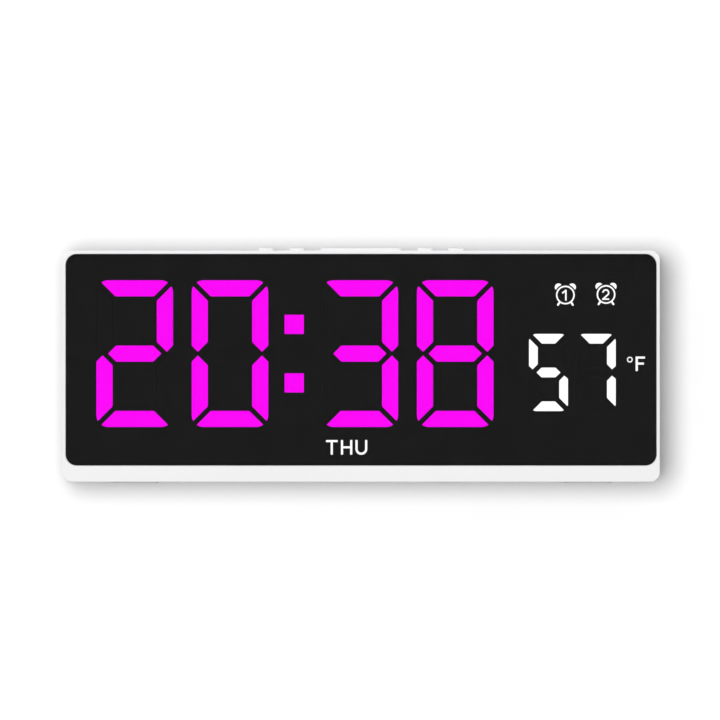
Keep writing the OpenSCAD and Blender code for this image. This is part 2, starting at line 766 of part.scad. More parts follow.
module rear_cover() {
    color(white_plastic) difference() {
        union() {
            difference() {
                translate([0, parting_y, shell_zc]) rotate([-90, 0, 0])
                    soft_slab(shell_w, shell_h, corner_r, rear_cover_d, rear_fillet);
                plate(parting_y - over, rear_inner_y) translate([0, shell_zc])
                    rounded(inner_w, inner_h, inner_r);
                plate(parting_y - over, parting_y + shadow_line) translate([0, shell_zc]) difference() {
                    rounded(shell_w + over, shell_h + over, corner_r);
                    rounded(shell_w - 2 * shadow_line, shell_h - 2 * shadow_line, corner_r - shadow_line);
                }
            }
            plate(lip_y + lip_gap, parting_y) translate([0, shell_zc]) difference() {
                rounded(inner_w + 2 * lip_t, inner_h + 2 * lip_t, inner_r + lip_t);
                rounded(inner_w, inner_h, inner_r);
            }
            for (x = [-1, 1], z = cover_screw_z)
                rod_y(x * cover_screw_x, z, cover_join_y, rear_inner_y + wall / 2, cover_boss_dia);
            for (x = [-post_x, post_x], z = [-post_z, post_z])
                rod_y(x, control_z + z, control_y1, rear_inner_y + wall / 2, board_boss_dia);
            for (x = [-1, 1])
                translate([x * keyhole_spacing / 2, 0, keyhole_z])
                    plate(rear_inner_y - keyhole_pocket_d - keyhole_pocket_wall, rear_inner_y + wall / 2)
                        keyhole_pocket(keyhole_pocket_wall);
            rod_y(cell_x, cell_z, collar_y0, rear_inner_y + wall / 2, 2 * collar_r);
        }
        for (x = [-1, 1], z = cover_screw_z) {
            rod_y(x * cover_screw_x, z, cover_join_y - over, rear_y + over, cover_screw_dia + 2 * pass_gap);
            rod_y(x * cover_screw_x, z, cover_seat_y, rear_y + over, cover_head_dia + 2 * pass_gap);
        }
        for (x = [-post_x, post_x], z = [-post_z, post_z])
            rod_y(x, control_z + z, control_y1 - over, control_y0 + board_screw_len + tip_room,
                board_screw_dia + 2 * thread_gap);
        for (x = [-1, 1]) translate([x * keyhole_spacing / 2, 0, keyhole_z]) {
            plate(rear_inner_y - keyhole_pocket_d, rear_inner_y) keyhole_pocket(0);
            plate(rear_inner_y - over, rear_y + over) keyhole_outline();
        }
        translate([cell_x, 0, cell_z]) rotate([-90, 0, 0]) door_collar_cuts();
        plate(rear_inner_y - over, rear_y + over) {
            rear_slots();
            translate([0, socket_z]) socket_outline(socket_gap);
        }
    }
}

// Screws point along -Z here, with the underside of the head at z = 0
module screw(thread_d, length, head_d, head_h) {
    cross_w = head_d / 6;
    difference() {
        union() {
            translate([0, 0, -length]) cylinder(d = thread_d, h = length);
            cylinder(d = head_d, h = head_h);
        }
        for (turn = [0, 90]) rotate(turn)
            translate([-head_d * 0.3, -cross_w / 2, head_h / 2]) cube([head_d * 0.6, cross_w, head_h]);
    }
}

module board_screw() {
    screw(board_screw_dia, board_screw_len, board_head_dia, board_head_h);
}

module cover_screws() {
    color(steel) for (x = [-1, 1], z = cover_screw_z)
        facing_rear(x * cover_screw_x, cover_seat_y, z)
            screw(cover_screw_dia, cover_screw_len, cover_head_dia, cover_head_h);
}

// The four places of the feet, at the lower face of each pad
module foot_places() {
    for (x = [-1, 1], y = [front_y + wall + foot_d, parting_y - lip_d - foot_d / 2])
        translate([x * (shell_w / 2 - foot_inset), y, 0]) children();
}

module foot_pads() {
    color(silicone_clear) foot_places() linear_extrude(foot_t) rotate(90) slot_outline(foot_w, foot_d);
}

// Display

module lens() {
    color(lens_black) translate([0, lens_y1, lens_zc]) rotate([90, 0, 0])
        bevelled_slab(lens_w, lens_h, lens_r, lens_t, lens_chamfer);
}

module lens_tape() {
    color(deep_black) plate(lens_y1 + tape_gap, ledge_y0) translate([0, lens_zc]) difference() {
        rounded(lens_w, lens_h, lens_r);
        rounded(window_w, window_h, window_r);
    }
}

// Every display segment, as its front view in place, widened by grow
module all_segments(grow) {
    for (x = time_x, letter = all_letters) translate([x, digit_z]) time_segment(letter, grow);
    for (x = temperature_x, letter = all_letters) translate([x, small_z]) temperature_segment(letter, grow);
    colon_outline(grow);
}

module colon_outline(grow) {
    for (side = [-1, 1]) translate([colon_x, digit_z + side * colon_pitch / 2])
        square(colon_dot + 2 * grow, center = true);
}

// The light cells behind the mask's small lamps: seven weekdays, two alarms and the degree sign
module lamp_outlines(grow) {
    for (day = [-3 : 3]) translate([weekday_shift + day * weekday_pitch, weekday_z])
        square([weekday_cell_w + 2 * grow, weekday_cell_h + 2 * grow], center = true);
    for (side = [-1, 1]) translate([alarm_x + side * alarm_pitch / 2, alarm_z])
        circle(d = alarm_cell_d + 2 * grow);
    translate([degree_x, degree_z]) square(degree_cell + 2 * grow, center = true);
}

module display_mask() {
    color(deep_black) plate(mask_y0, reflector_y0) difference() {
        translate([0, lens_zc]) rounded(stack_w, stack_h, stack_r);
        all_segments(cell_gap);
    }
}

// A front plate with a rim and a tube behind every segment and lamp, cored out between them
module reflector_frame() {
    rim_w = stack_w - 2 * reflector_wall;
    rim_h = stack_h - 2 * reflector_wall;
    color(deep_black) {
        plate(reflector_y0, reflector_y0 + reflector_face_t) difference() {
            translate([0, lens_zc]) rounded(stack_w, stack_h, stack_r);
            all_segments(cell_gap);
            lamp_outlines(cell_gap);
        }
        plate(reflector_y0 + reflector_face_t, display_y0) difference() {
            union() {
                translate([0, lens_zc]) difference() {
                    rounded(stack_w, stack_h, stack_r);
                    rounded(rim_w, rim_h, stack_r / 2);
                }
                all_segments(cell_gap + reflector_wall);
                lamp_outlines(cell_gap + reflector_wall);
            }
            all_segments(cell_gap);
            lamp_outlines(cell_gap);
        }
    }
}

// The diffusers of one digit that are lit, or those that are dark
function is_lit(letter, digit) = len(search(letter, lit_letters[digit])) > 0;

module time_diffusers(place, lit) {
    for (letter = all_letters) if (is_lit(letter, time_shown[place]) == lit)
        plate(mask_y0, mask_y0 + diffuser_d) translate([time_x[place], digit_z]) time_segment(letter);
}

module temperature_diffusers(place, lit) {
    for (letter = all_letters) if (is_lit(letter, temperature_shown[place]) == lit)
        plate(mask_y0, mask_y0 + diffuser_d)
            translate([temperature_x[place], small_z]) temperature_segment(letter);
}

module hour_tens_digit() { color(lit_magenta) time_diffusers(0, true); }
module hour_units_digit() { color(lit_magenta) time_diffusers(1, true); }
module minute_tens_digit() { color(lit_magenta) time_diffusers(2, true); }
module minute_units_digit() { color(lit_magenta) time_diffusers(3, true); }
module temperature_tens_digit() { color(lit_white) temperature_diffusers(0, true); }
module temperature_units_digit() { color(lit_white) temperature_diffusers(1, true); }
module colon_dots() { color(lit_magenta) plate(mask_y0, mask_y0 + diffuser_d) colon_outline(0); }

module unlit_segments() {
    color(unlit_grey) {
        for (place = [0 : 3]) time_diffusers(place, false);
        for (place = [0, 1]) temperature_diffusers(place, false);
    }
}

module lamp_diffusers() {
    color(lit_white) plate(reflector_y0, reflector_y0 + diffuser_d) lamp_outlines(0);
}

// Display board

// One LED on the display board; long is along X, or along Z when upright
module led(x, z, upright = false) {
    l = upright ? led_w : led_l;
    h = upright ? led_l : led_w;
    translate([x - l / 2, display_y0 - led_h, z - h / 2]) cube([l, led_h, h]);
}

// The LEDs of one digit: one in the middle of each segment, or a pair spread along its clear length
module digit_leds(x, z, w, h, s, cut, pairs) {
    bar_x = w / 2 - s / 2;
    bar_z = h / 2 - s / 2;
    bar_clear = w - 2 * s - cut * sqrt(2);
    post_clear = h / 2 - 1.5 * s - cut * sqrt(2);
    for (along = pairs ? [-0.25, 0.25] : [0]) {
        for (level = [-1, 0, 1]) led(x + along * bar_clear, z + level * bar_z);
        for (side = [-1, 1], level = [-1, 1])
            led(x + side * bar_x, z + level * bar_z / 2 + along * post_clear, upright = true);
    }
}

module display_leds() {
    color(lit_white) {
        for (x = time_x) digit_leds(x, digit_z, digit_w, digit_h, digit_stroke, digit_cut, true);
        for (x = temperature_x) digit_leds(x, small_z, small_w, small_h, small_stroke, small_cut, false);
        for (side = [-1, 1]) {
            led(colon_x, digit_z + side * colon_pitch / 2);
            led(alarm_x + side * alarm_pitch / 2, alarm_z);
        }
        for (day = [-3 : 3]) led(weekday_shift + day * weekday_pitch, weekday_z);
        led(degree_x, degree_z);
    }
}

module display_board() {
    board_w = inner_w - 2 * board_gap;
    board_h = inner_h - 2 * board_gap;
    color(board_green) difference() {
        plate(display_y0, display_y1) translate([0, shell_zc]) square([board_w, board_h], center = true);
        for (x = display_screw_x)
            rod_y(x, display_screw_z, display_y0 - over, display_y1 + over, board_screw_dia + 2 * pass_gap);
    }
}

module display_board_screws() {
    color(steel) for (x = display_screw_x) facing_rear(x, display_y1, display_screw_z) board_screw();
}

// A flat chip package with its rows of legs, standing on z = 0
module chip(l) {
    leg_w = leg_pitch / 3;
    leg_t = chip_h / 8;
    legs = floor(l / leg_pitch);
    translate([-l / 2, -chip_w / 2, leg_t / 2]) cube([l, chip_w, chip_h - leg_t / 2]);
    for (i = [0 : legs - 1])
        translate([(i - (legs - 1) / 2) * leg_pitch - leg_w / 2, -chip_w / 2 - leg_out, 0])
            cube([leg_w, chip_w + 2 * leg_out, leg_t]);
}

module driver_chips() {
    color(deep_black) for (x = [-1, 1]) facing_rear(x * 0.24 * shell_w, display_y1, digit_z - digit_h / 4)
        chip(driver_l);
}

// A pin row on the display board, and on it a socket that reaches the control board
module board_connector() {
    socket_y0 = display_y1 + connector_base;
    color(deep_black) translate([connector_x, 0, connector_z]) {
        plate(display_y1, socket_y0) pin_row(connector_pins, connector_h);
        plate(socket_y0, control_y0)
            square([connector_pins * pin_pitch, connector_h - pin_notch], center = true);
    }
}

// Control board

module control_board() {
    color(board_green) difference() {
        plate(control_y0, control_y1) translate([0, control_z]) rounded(control_w, control_h, 1);
        for (x = [-post_x, post_x], z = [-post_z, post_z])
            rod_y(x, control_z + z, control_y0 - over, control_y1 + over, board_screw_dia + 2 * pass_gap);
    }
}

module control_board_screws() {
    color(steel) for (x = [-post_x, post_x], z = [-post_z, post_z])
        translate([x, control_y0, control_z + z]) rotate([90, 0, 0]) board_screw();
}

module microcontroller() {
    color(deep_black) translate([0, control_y0, control_z + control_h / 6]) rotate([90, 0, 0])
        chip(controller_l);
}

// The crystal's can lies on the board, and its two leads bend down to it
module quartz_crystal() {
    r = crystal_dia / 2;
    color(steel) translate([control_w / 8, control_y0 - r, control_z - control_h / 6]) {
        rotate([0, 90, 0]) cylinder(r = r, h = crystal_l);
        for (side = [-1, 1]) translate([-r, 0, side * r / 2]) {
            rotate([0, 90, 0]) cylinder(d = lead_dia, h = 2 * r);
            sphere(d = lead_dia);
            rotate([-90, 0, 0]) cylinder(d = lead_dia, h = r);
        }
    }
}

// The capacitor's can is crimped round its seal, near the board
module smoothing_capacitor() {
    beside_socket = socket_w / 2 + capacitor_dia;
    r = capacitor_dia / 2;
    color(deep_black) facing_rear(-beside_socket, control_y1, socket_z) rotate_extrude() difference() {
        square([r, capacitor_h]);
        translate([r, r / 2]) circle(r / 8);
    }
}

module sounder() {
    color(deep_black) difference() {
        rod_y(sounder_x, sounder_z, control_y1, sounder_y1, sounder_dia);
        rod_y(sounder_x, sounder_z, control_y1 + 0.8 * sounder_h, sounder_y1 + over, sounder_dia / 5);
    }
}

module temperature_sensor() {
    bead_y = control_y1 + sensor_h;
    color(gold) translate([post_x - 2 * board_boss_dia, 0, control_z - control_h / 2 + sensor_dia]) {
        translate([0, bead_y, 0]) sphere(d = sensor_dia);
        for (side = [-1, 1]) rod_y(side * sensor_dia / 4, 0, control_y1, bead_y, lead_dia);
    }
}

module power_socket_shell() {
    color(steel) translate([0, 0, socket_z]) difference() {
        plate(control_y1, socket_y1) socket_outline();
        plate(control_y1 - over, rear_y + over) socket_outline(-socket_wall);
    }
}

module power_socket_tongue() {
    base_y1 = socket_y1 - socket_depth;
    color(deep_black) translate([0, 0, socket_z]) {
        plate(control_y1, base_y1) socket_outline(-socket_wall);
        plate(base_y1, socket_y1 - tongue_t) square([tongue_w, tongue_t], center = true);
    }
}

// Backup cell

module cell_holder() {
    color(deep_black) difference() {
        rod_y(cell_x, cell_z, control_y1, holder_rim_y1, 2 * holder_r);
        rod_y(cell_x, cell_z, contact_y0, holder_rim_y1 + over, cell_dia + 2 * holder_gap);
    }
}

module cell_contact() {
    blade_w = 0.8 * cell_dia;
    blade_h = 0.3 * cell_dia;
    color(gold) translate([cell_x, 0, cell_z])
        plate(contact_y0, cell_y0) rounded(blade_w, blade_h, blade_h / 4);
}

module coin_cell() {
    rim = cell_h / 8;
    color(steel) facing_rear(cell_x, cell_y0, cell_z) {
        cylinder(d = 0.88 * cell_dia, h = cell_h);
        translate([0, 0, rim]) cylinder(d = cell_dia, h = cell_h - rim);
    }
}

module cell_door() {
    color(white_plastic) facing_rear(cell_x, 0, cell_z) difference() {
        union() {
            translate([0, 0, door_flange_y0]) cylinder(r = door_r, h = door_flange_t);
            translate([0, 0, skirt_y0]) cylinder(r = skirt_r, h = door_y1 - skirt_y0 - door_flange_t / 2);
            for (turn = [0, 180]) translate([0, 0, skirt_y0]) rotate(turn - lug_angle / 2)
                rotate_extrude(angle = lug_angle) translate([skirt_r - door_skirt_t / 2, 0])
                    square([lug_w + door_skirt_t / 2, lug_t]);
        }
        translate([0, 0, skirt_y0 - over]) cylinder(r = skirt_inner_r, h = door_skirt + over);
        translate([0, 0, door_y1 - coin_slot_d]) linear_extrude(coin_slot_d + over)
            rotate(90) slot_outline(1.5 * skirt_r, coin_slot_w);
    }
}

// Keys

module key_board() {
    color(board_green) difference() {
        translate([-key_board_w / 2, key_board_y0, key_board_z0])
            cube([key_board_w, key_board_y1 - key_board_y0, board_t]);
        for (x = [-key_screw_x, key_screw_x]) translate([x, button_y, key_board_z0 - over])
            cylinder(d = board_screw_dia + 2 * pass_gap, h = board_t + 2 * over);
    }
}

module key_board_screws() {
    color(steel) for (x = [-key_screw_x, key_screw_x])
        translate([x, button_y, key_board_z0]) mirror([0, 0, 1]) board_screw();
}

module key_header() {
    color(deep_black) translate([0, 0, key_board_z0 - header_side / 2])
        plate(display_y1, display_y1 + header_side) pin_row(header_pins, header_side);
}

// Each switch stands on four legs and has a bore for its plunger
module key_switches() {
    leg_l = switch_side + 2 * switch_leg_out;
    leg_t = switch_leg_w / 3;
    color(deep_black) for (x = switch_x) translate([x, button_y, 0]) difference() {
        union() {
            translate([-switch_side / 2, -switch_side / 2, key_board_z1])
                cube([switch_side, switch_side, switch_body_h]);
            for (side = [-1, 1])
                translate([side * switch_leg_pitch / 2 - switch_leg_w / 2, -leg_l / 2, key_board_z1])
                    cube([switch_leg_w, leg_l, leg_t]);
        }
        translate([0, 0, switch_bore_z0])
            cylinder(d = plunger_dia + 2 * plunger_gap, h = switch_z1 - switch_bore_z0 + over);
    }
}

module plunger(x) {
    color(deep_black) translate([x, button_y, plunger_z0])
        cylinder(d = plunger_dia, h = plunger_z1 - plunger_z0);
}

module stem(x) {
    translate([x, button_y, plunger_z1]) cylinder(d = stem_dia, h = stem_len);
}

module round_button(x) {
    cap_r = button_dia / 2;
    cap_h = shell_z1 + button_proud - flange_z1;
    color(white_plastic) {
        stem(x);
        translate([x, button_y, flange_z0]) cylinder(r = cap_r + flange_w, h = flange_t);
        translate([x, button_y, flange_z1]) rotate_extrude() {
            square([cap_r, cap_h - button_fillet]);
            square([cap_r - button_fillet, cap_h]);
            translate([cap_r - button_fillet, cap_h - button_fillet]) quarter_disc(button_fillet);
        }
    }
}

module snooze_bar() {
    color(white_plastic) {
        stem(0);
        translate([0, button_y, flange_z0]) linear_extrude(flange_t)
            rounded(snooze_w + 2 * flange_w, snooze_d + 2 * flange_w, snooze_r + flange_w);
        translate([0, button_y, flange_z1])
            soft_slab(snooze_w, snooze_d, snooze_r, shell_z1 + button_proud - flange_z1, button_fillet);
    }
}

module left_outer_button() { round_button(button_x[0]); }
module left_inner_button() { round_button(button_x[1]); }
module right_inner_button() { round_button(button_x[2]); }
module right_outer_button() { round_button(button_x[3]); }
module snooze_plunger() { plunger(0); }
module left_outer_plunger() { plunger(button_x[0]); }
module left_inner_plunger() { plunger(button_x[1]); }
module right_inner_plunger() { plunger(button_x[2]); }
module right_outer_plunger() { plunger(button_x[3]); }

front_housing();
rear_cover();
cover_screws();
foot_pads();
lens();
lens_tape();
display_mask();
reflector_frame();
hour_tens_digit();
hour_units_digit();
colon_dots();
minute_tens_digit();
minute_units_digit();
temperature_tens_digit();
temperature_units_digit();
unlit_segments();
lamp_diffusers();
display_leds();
display_board();
display_board_screws();
driver_chips();
board_connector();
control_board();
control_board_screws();
microcontroller();
quartz_crystal();
smoothing_capacitor();
sounder();
temperature_sensor();
power_socket_shell();
power_socket_tongue();
cell_holder();
cell_contact();
coin_cell();
cell_door();
key_board();
key_board_screws();
key_header();
key_switches();
snooze_bar();
left_outer_button();
left_inner_button();
right_inner_button();
right_outer_button();
snooze_plunger();
left_outer_plunger();
left_inner_plunger();
right_inner_plunger();
right_outer_plunger();
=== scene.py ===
"""Finishes, lit signs and stage for a white LED alarm clock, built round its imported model."""

import math

import bpy
from mathutils import Matrix, Vector
from mathutils.geometry import delaunay_2d_cdt


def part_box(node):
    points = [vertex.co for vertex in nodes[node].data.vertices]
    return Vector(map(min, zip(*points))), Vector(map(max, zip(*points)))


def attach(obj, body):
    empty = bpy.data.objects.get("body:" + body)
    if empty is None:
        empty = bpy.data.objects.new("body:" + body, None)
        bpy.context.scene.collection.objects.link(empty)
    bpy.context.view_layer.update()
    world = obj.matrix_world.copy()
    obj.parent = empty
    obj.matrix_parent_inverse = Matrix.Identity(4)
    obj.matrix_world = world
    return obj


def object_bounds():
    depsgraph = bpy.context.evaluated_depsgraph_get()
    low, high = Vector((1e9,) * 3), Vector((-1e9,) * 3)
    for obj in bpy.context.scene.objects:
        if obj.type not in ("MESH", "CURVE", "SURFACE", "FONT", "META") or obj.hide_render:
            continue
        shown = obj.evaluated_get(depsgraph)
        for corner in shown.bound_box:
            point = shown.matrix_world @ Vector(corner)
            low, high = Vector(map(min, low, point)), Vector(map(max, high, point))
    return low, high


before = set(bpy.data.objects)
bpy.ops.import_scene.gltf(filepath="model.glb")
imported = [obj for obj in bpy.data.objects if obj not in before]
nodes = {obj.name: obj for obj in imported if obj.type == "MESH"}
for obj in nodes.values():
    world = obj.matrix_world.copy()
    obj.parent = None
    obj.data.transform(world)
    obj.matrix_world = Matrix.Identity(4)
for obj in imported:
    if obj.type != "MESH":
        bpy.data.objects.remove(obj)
CAD_BOX = [list(corner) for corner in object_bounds()]

bl_info = {
    "name": "LED Clock Finisher",
    "version": (1, 0, 0),
    "blender": (4, 5, 0),
    "location": "3D View > Sidebar > Clock",
    "description": "Gives a packed LED clock its finishes, lit signs and studio",
    "category": "Object",
}

MM = 0.001
CASE = "clock_case"
ROUND_STEPS = 12
RING_STEPS = 64
BOX_TREE = "Repeated boxes"

TIME_DIGITS = (
    "hour_tens_digit",
    "hour_units_digit",
    "colon_dots",
    "minute_tens_digit",
    "minute_units_digit",
)
# The lit strokes of each temperature digit, by the usual letters from a, on top, to g, in the middle
TEMPERATURE_DIGITS = {
    "temperature_tens_digit": "acdfg",
    "temperature_units_digit": "abc",
}
# The key that rides on each body
KEYS = {
    "left_outer": "left_outer_button",
    "left_inner": "left_inner_button",
    "snooze": "snooze_bar",
    "right_inner": "right_inner_button",
    "right_outer": "right_outer_button",
}


# Sizes and colours that a user would change


def colour(name, description, default):
    return bpy.props.FloatVectorProperty(
        name=name, description=description, default=default, subtype="COLOR", size=3, min=0, max=1
    )


def length(name, description, default):
    return bpy.props.FloatProperty(
        name=name, description=description, default=default, unit="LENGTH", precision=5
    )


def share(name, description, default):
    return bpy.props.FloatProperty(
        name=name, description=description, default=default, subtype="FACTOR", min=0, max=1
    )


def level(name, description, default):
    return bpy.props.FloatProperty(name=name, description=description, default=default, min=0)


class ClockFinish(bpy.types.PropertyGroup):
    """Colours and surfaces of the clock"""

    shell_white: colour("Shell white", "Moulded plastic of the case", (0.878, 0.878, 0.88))
    key_white: colour("Key white", "Moulded plastic of the keys", (0.88, 0.88, 0.88))
    mark_grey: colour("Mark grey", "Printed marks on the keys and the back", (0.16, 0.165, 0.17))
    film_black: colour("Film black", "Mask film and dark diffusers behind the lens", (0.033, 0.033, 0.033))
    magenta_glow: colour("Magenta glow", "Light of the time", (0.96, 0.0, 0.93))
    white_glow: colour("White glow", "Light of the temperature and the signs", (1.0, 1.0, 1.0))
    board_green: colour("Board green", "Lacquer of the circuit boards", (0.012, 0.09, 0.04))
    silicone: colour("Silicone", "Clear silicone of the foot pads", (0.86, 0.865, 0.87))
    magenta_strength: level("Magenta strength", "Light of the time behind the lens", 1.93)
    white_strength: level("White strength", "Light of the temperature and the signs behind the lens", 2.1)
    lens_cover: share("Lens cover", "How much of what lies behind one face of the lens it hides", 0.3)
    lens_gloss: share("Lens gloss", "Specular level of the lens", 0.06)
    border_width: length("Border width", "Width of the border printed on the back of the lens", 3.1 * MM)
    border_radius: length("Border radius", "Outer corner radius of that border", 4.5 * MM)
    border_inset: length("Border inset", "How far that border stays inside the lens's edge", 0.1 * MM)
    grain_size: length("Grain size", "Width of the grain moulded into the shell", 0.35 * MM)
    grain_depth: length("Grain depth", "Depth of the grain moulded into the shell", 0.012 * MM)


class ClockSigns(bpy.types.PropertyGroup):
    """Sizes and places of the lit signs and the printed marks"""

    thickness: length("Sign thickness", "Thickness of a lit sign on the mask", 0.12 * MM)
    print_thickness: length("Print thickness", "Thickness of a printed mark", 0.04 * MM)
    alarm_z: length("Alarm height", "Height of the first alarm sign above the lens's lower edge", 71.33 * MM)
    alarm_rise: length("Alarm rise", "How much higher the second alarm sign sits", 0.25 * MM)
    alarm_x1: length("First alarm place", "Place of the first alarm sign across the face", 85.52 * MM)
    alarm_x2: length("Second alarm place", "Place of the second alarm sign across the face", 102.54 * MM)
    ring_radius: length("Ring radius", "Outer radius of an alarm sign's ring", 3.92 * MM)
    ring_stroke: length("Ring stroke", "Width of an alarm sign's ring", 0.6 * MM)
    bell_radius: length("Bell radius", "Radius of an alarm sign's bells", 1.56 * MM)
    bell_gap: length("Bell gap", "Gap between an alarm sign's ring and bells", 0.62 * MM)
    weekday_stroke: length("Weekday stroke", "Width of the weekday's strokes", 0.9 * MM)
    degree_radius: length("Degree radius", "Outer radius of the degree sign", 1.19 * MM)
    digit_radius: length("Digit radius", "Outer corner radius of a temperature digit", 3.2 * MM)
    bar_stroke: length("Bar stroke", "Width of a temperature digit's level strokes", 4.05 * MM)
    bar_cut: length("Bar cut", "How far a level stroke ends before its digit's corner", 1.33 * MM)
    bar_tip: length("Bar tip", "From a digit's middle to the tips of its middle stroke", 5.0 * MM)
    bar_shoulder: length("Bar shoulder", "From a digit's middle to where that stroke narrows", 2.9 * MM)
    post_stroke: length("Post stroke", "Width of a temperature digit's upright strokes", 3.65 * MM)
    post_cut: length("Post cut", "How far an upright stroke ends before its digit's corner", 1.87 * MM)
    post_tip: length("Post tip", "Height from a digit's middle to an upright stroke's tip", 1.35 * MM)
    post_inset: length("Post tip inset", "From a digit's edge to that tip", 1.55 * MM)
    post_outer: length("Post outer shoulder", "Height at which that stroke narrows outside", 2.7 * MM)
    post_inner: length("Post inner shoulder", "Height at which that stroke narrows inside", 3.45 * MM)


class ClockStage(bpy.types.PropertyGroup):
    """Camera and light of the studio"""

    camera_distance: length("Camera distance", "From the camera to the clock's face", 6.0)
    view_width: length("View width", "Width that the camera sees at the clock's face", 301.3 * MM)
    view_x: length("View centre", "Middle of the view across the face", -0.46 * MM)
    view_z: length("View height", "Height of the middle of the view", 51.45 * MM)
    wall_gap: length("Wall gap", "From the clock's back to the wall", 3 * MM)
    key_light: level("Key light", "Brightness of a white surface under the front lamp alone", 0.84)
    wall_light: level("Wall light", "Brightness of the wall under its own lamp alone", 0.86)
    back_light: level("Back light", "Brightness of a white surface under the rear lamp alone", 0.45)
    top_light: level("Top light", "Brightness of a white surface under the top lamp alone", 0.36)
    side_light: level("Side light", "Brightness of a white surface under one side lamp alone", 0.42)
    ambient: level("Ambient light", "Brightness of a white surface under the sky alone", 0.22)
    wall_lift: level("Wall lift", "Light that the wall shows to the camera", 0.085)
    floor_lift: level("Floor lift", "Light that the floor shows to the camera", 0.45)


# Materials


class Finish:
    """A material under construction: its tree, its shader and the object's own coordinates"""

    def __init__(self, name):
        self.material = bpy.data.materials.new(name)
        self.material.use_nodes = True
        self.tree = self.material.node_tree
        self.shader = next(n for n in self.tree.nodes if n.type == "BSDF_PRINCIPLED")
        self.place = self.tree.nodes.new("ShaderNodeTexCoord").outputs["Object"]

    def set(self, **values):
        """Sets sockets of the shader, with _ for a space in their names"""
        for name, value in values.items():
            socket = self.shader.inputs[name.replace("_", " ")]
            socket.default_value = (*value, 1) if socket.type == "RGBA" else value
        return self

    def node(self, kind, **values):
        """A new node with sockets set, with _ for a space in their names"""
        made = self.tree.nodes.new(kind)
        for name, value in values.items():
            made.inputs[name.replace("_", " ")].default_value = value
        return made

    def link(self, source, target):
        self.tree.links.new(source, target)

    def mapped(self, **values):
        """The object's coordinates, turned or scaled"""
        mapping = self.node("ShaderNodeMapping", **values)
        self.link(self.place, mapping.inputs["Vector"])
        return mapping.outputs["Vector"]

    def noise(self, size, detail=2.0, vector=None):
        made = self.node("ShaderNodeTexNoise", Scale=1 / size, Detail=detail)
        self.link(vector or self.place, made.inputs["Vector"])
        return made.outputs["Fac"]

    def cells(self, size):
        made = self.node("ShaderNodeTexVoronoi", Scale=1 / size)
        self.link(self.place, made.inputs["Vector"])
        return made.outputs["Distance"]

    def ranged(self, source, low, high, start=0.3, end=0.7):
        """The source with its values from start to end spread over those from low to high"""
        made = self.node("ShaderNodeMapRange", From_Min=start, From_Max=end, To_Min=low, To_Max=high)
        self.link(source, made.inputs["Value"])
        return made.outputs["Result"]

    def rough(self, source, low, high):
        self.link(self.ranged(source, low, high), self.shader.inputs["Roughness"])
        return self

    def tinted(self, source, first, second, start=0.3, end=0.7):
        """Colours the surface from first to second as the source goes from start to end"""
        mix = self.node("ShaderNodeMix")
        mix.data_type = "RGBA"
        self.link(self.ranged(source, 0, 1, start, end), mix.inputs["Factor"])
        for socket, rgb in zip((s for s in mix.inputs if s.type == "RGBA"), (first, second)):
            socket.default_value = (*rgb, 1)
        self.link(next(s for s in mix.outputs if s.type == "RGBA"), self.shader.inputs["Base Color"])
        return self

    def bumped(self, source, depth):
        bump = self.node("ShaderNodeBump", Strength=1.0, Distance=depth)
        self.link(source, bump.inputs["Height"])
        self.link(bump.outputs["Normal"], self.shader.inputs["Normal"])
        return self


def shaded(rgb, factor):
    return tuple(min(1.0, channel * factor) for channel in rgb)


def moulded_plastic(name, rgb, rough, grain, depth, mottle=0.012):
    """Pale plastic with a moulded grain of that width and depth"""
    finish = Finish(name).set(Specular_IOR_Level=0.45)
    cloud = finish.noise(35 * MM, detail=3)
    finish.tinted(cloud, shaded(rgb, 1 - mottle), shaded(rgb, 1 + mottle / 2))
    finish.rough(finish.noise(4 * MM, detail=4), rough - 0.05, rough + 0.07)
    return finish.bumped(finish.noise(grain, detail=3), depth).material


def black_plastic(name, rgb, rough, specular=0.3, grain_depth=0.01 * MM):
    """Dark plastic, resin or ink with a slightly uneven tone"""
    finish = Finish(name).set(Specular_IOR_Level=specular)
    finish.tinted(finish.noise(6 * MM, detail=3), shaded(rgb, 0.9), shaded(rgb, 1.1))
    finish.rough(finish.noise(1.5 * MM, detail=3), rough - 0.08, rough + 0.08)
    return finish.bumped(finish.noise(0.3 * MM), grain_depth).material


def black_film(name, rgb, rough):
    """Film, tape or dark diffuser that shows hardly any gloss or grain"""
    return black_plastic(name, rgb, rough, specular=0.03, grain_depth=0.001 * MM)


def glowing_diffuser(name, rgb, strength):
    """Frosted plastic lit from behind"""
    finish = Finish(name).set(Emission_Color=rgb, Emission_Strength=strength, Specular_IOR_Level=0.1)
    frost = finish.noise(0.4 * MM, detail=3)
    finish.tinted(frost, shaded(rgb, 0.2), shaded(rgb, 0.26))
    finish.rough(frost, 0.55, 0.7)
    return finish.bumped(frost, 0.01 * MM).material


def smoked_window(name, cover, gloss):
    """Polished acrylic, each face of which hides that share of what lies behind it"""
    finish = Finish(name).set(Base_Color=(0.004, 0.004, 0.004), Alpha=cover)
    finish.set(IOR=1.49, Specular_IOR_Level=gloss)
    finish.rough(finish.noise(22 * MM, detail=5), 0.03, 0.09)
    finish.material.surface_render_method = "BLENDED"
    return finish.material


def circuit_lacquer(name, rgb):
    """Green lacquer with paler tracks under it, drawn on the boards' upright faces"""
    finish = Finish(name).set(Specular_IOR_Level=0.5)
    tracks = finish.node(
        "ShaderNodeTexBrick", Scale=1 / (6 * MM), Mortar_Size=0.03, Brick_Width=0.9, Row_Height=0.35
    )
    finish.link(finish.mapped(Rotation=(math.pi / 2, 0, 0)), tracks.inputs["Vector"])
    finish.tinted(tracks.outputs["Fac"], rgb, shaded(rgb, 2.2), start=0, end=1)
    finish.rough(finish.noise(3 * MM, detail=3), 0.3, 0.42)
    return finish.bumped(tracks.outputs["Fac"], 0.03 * MM).material


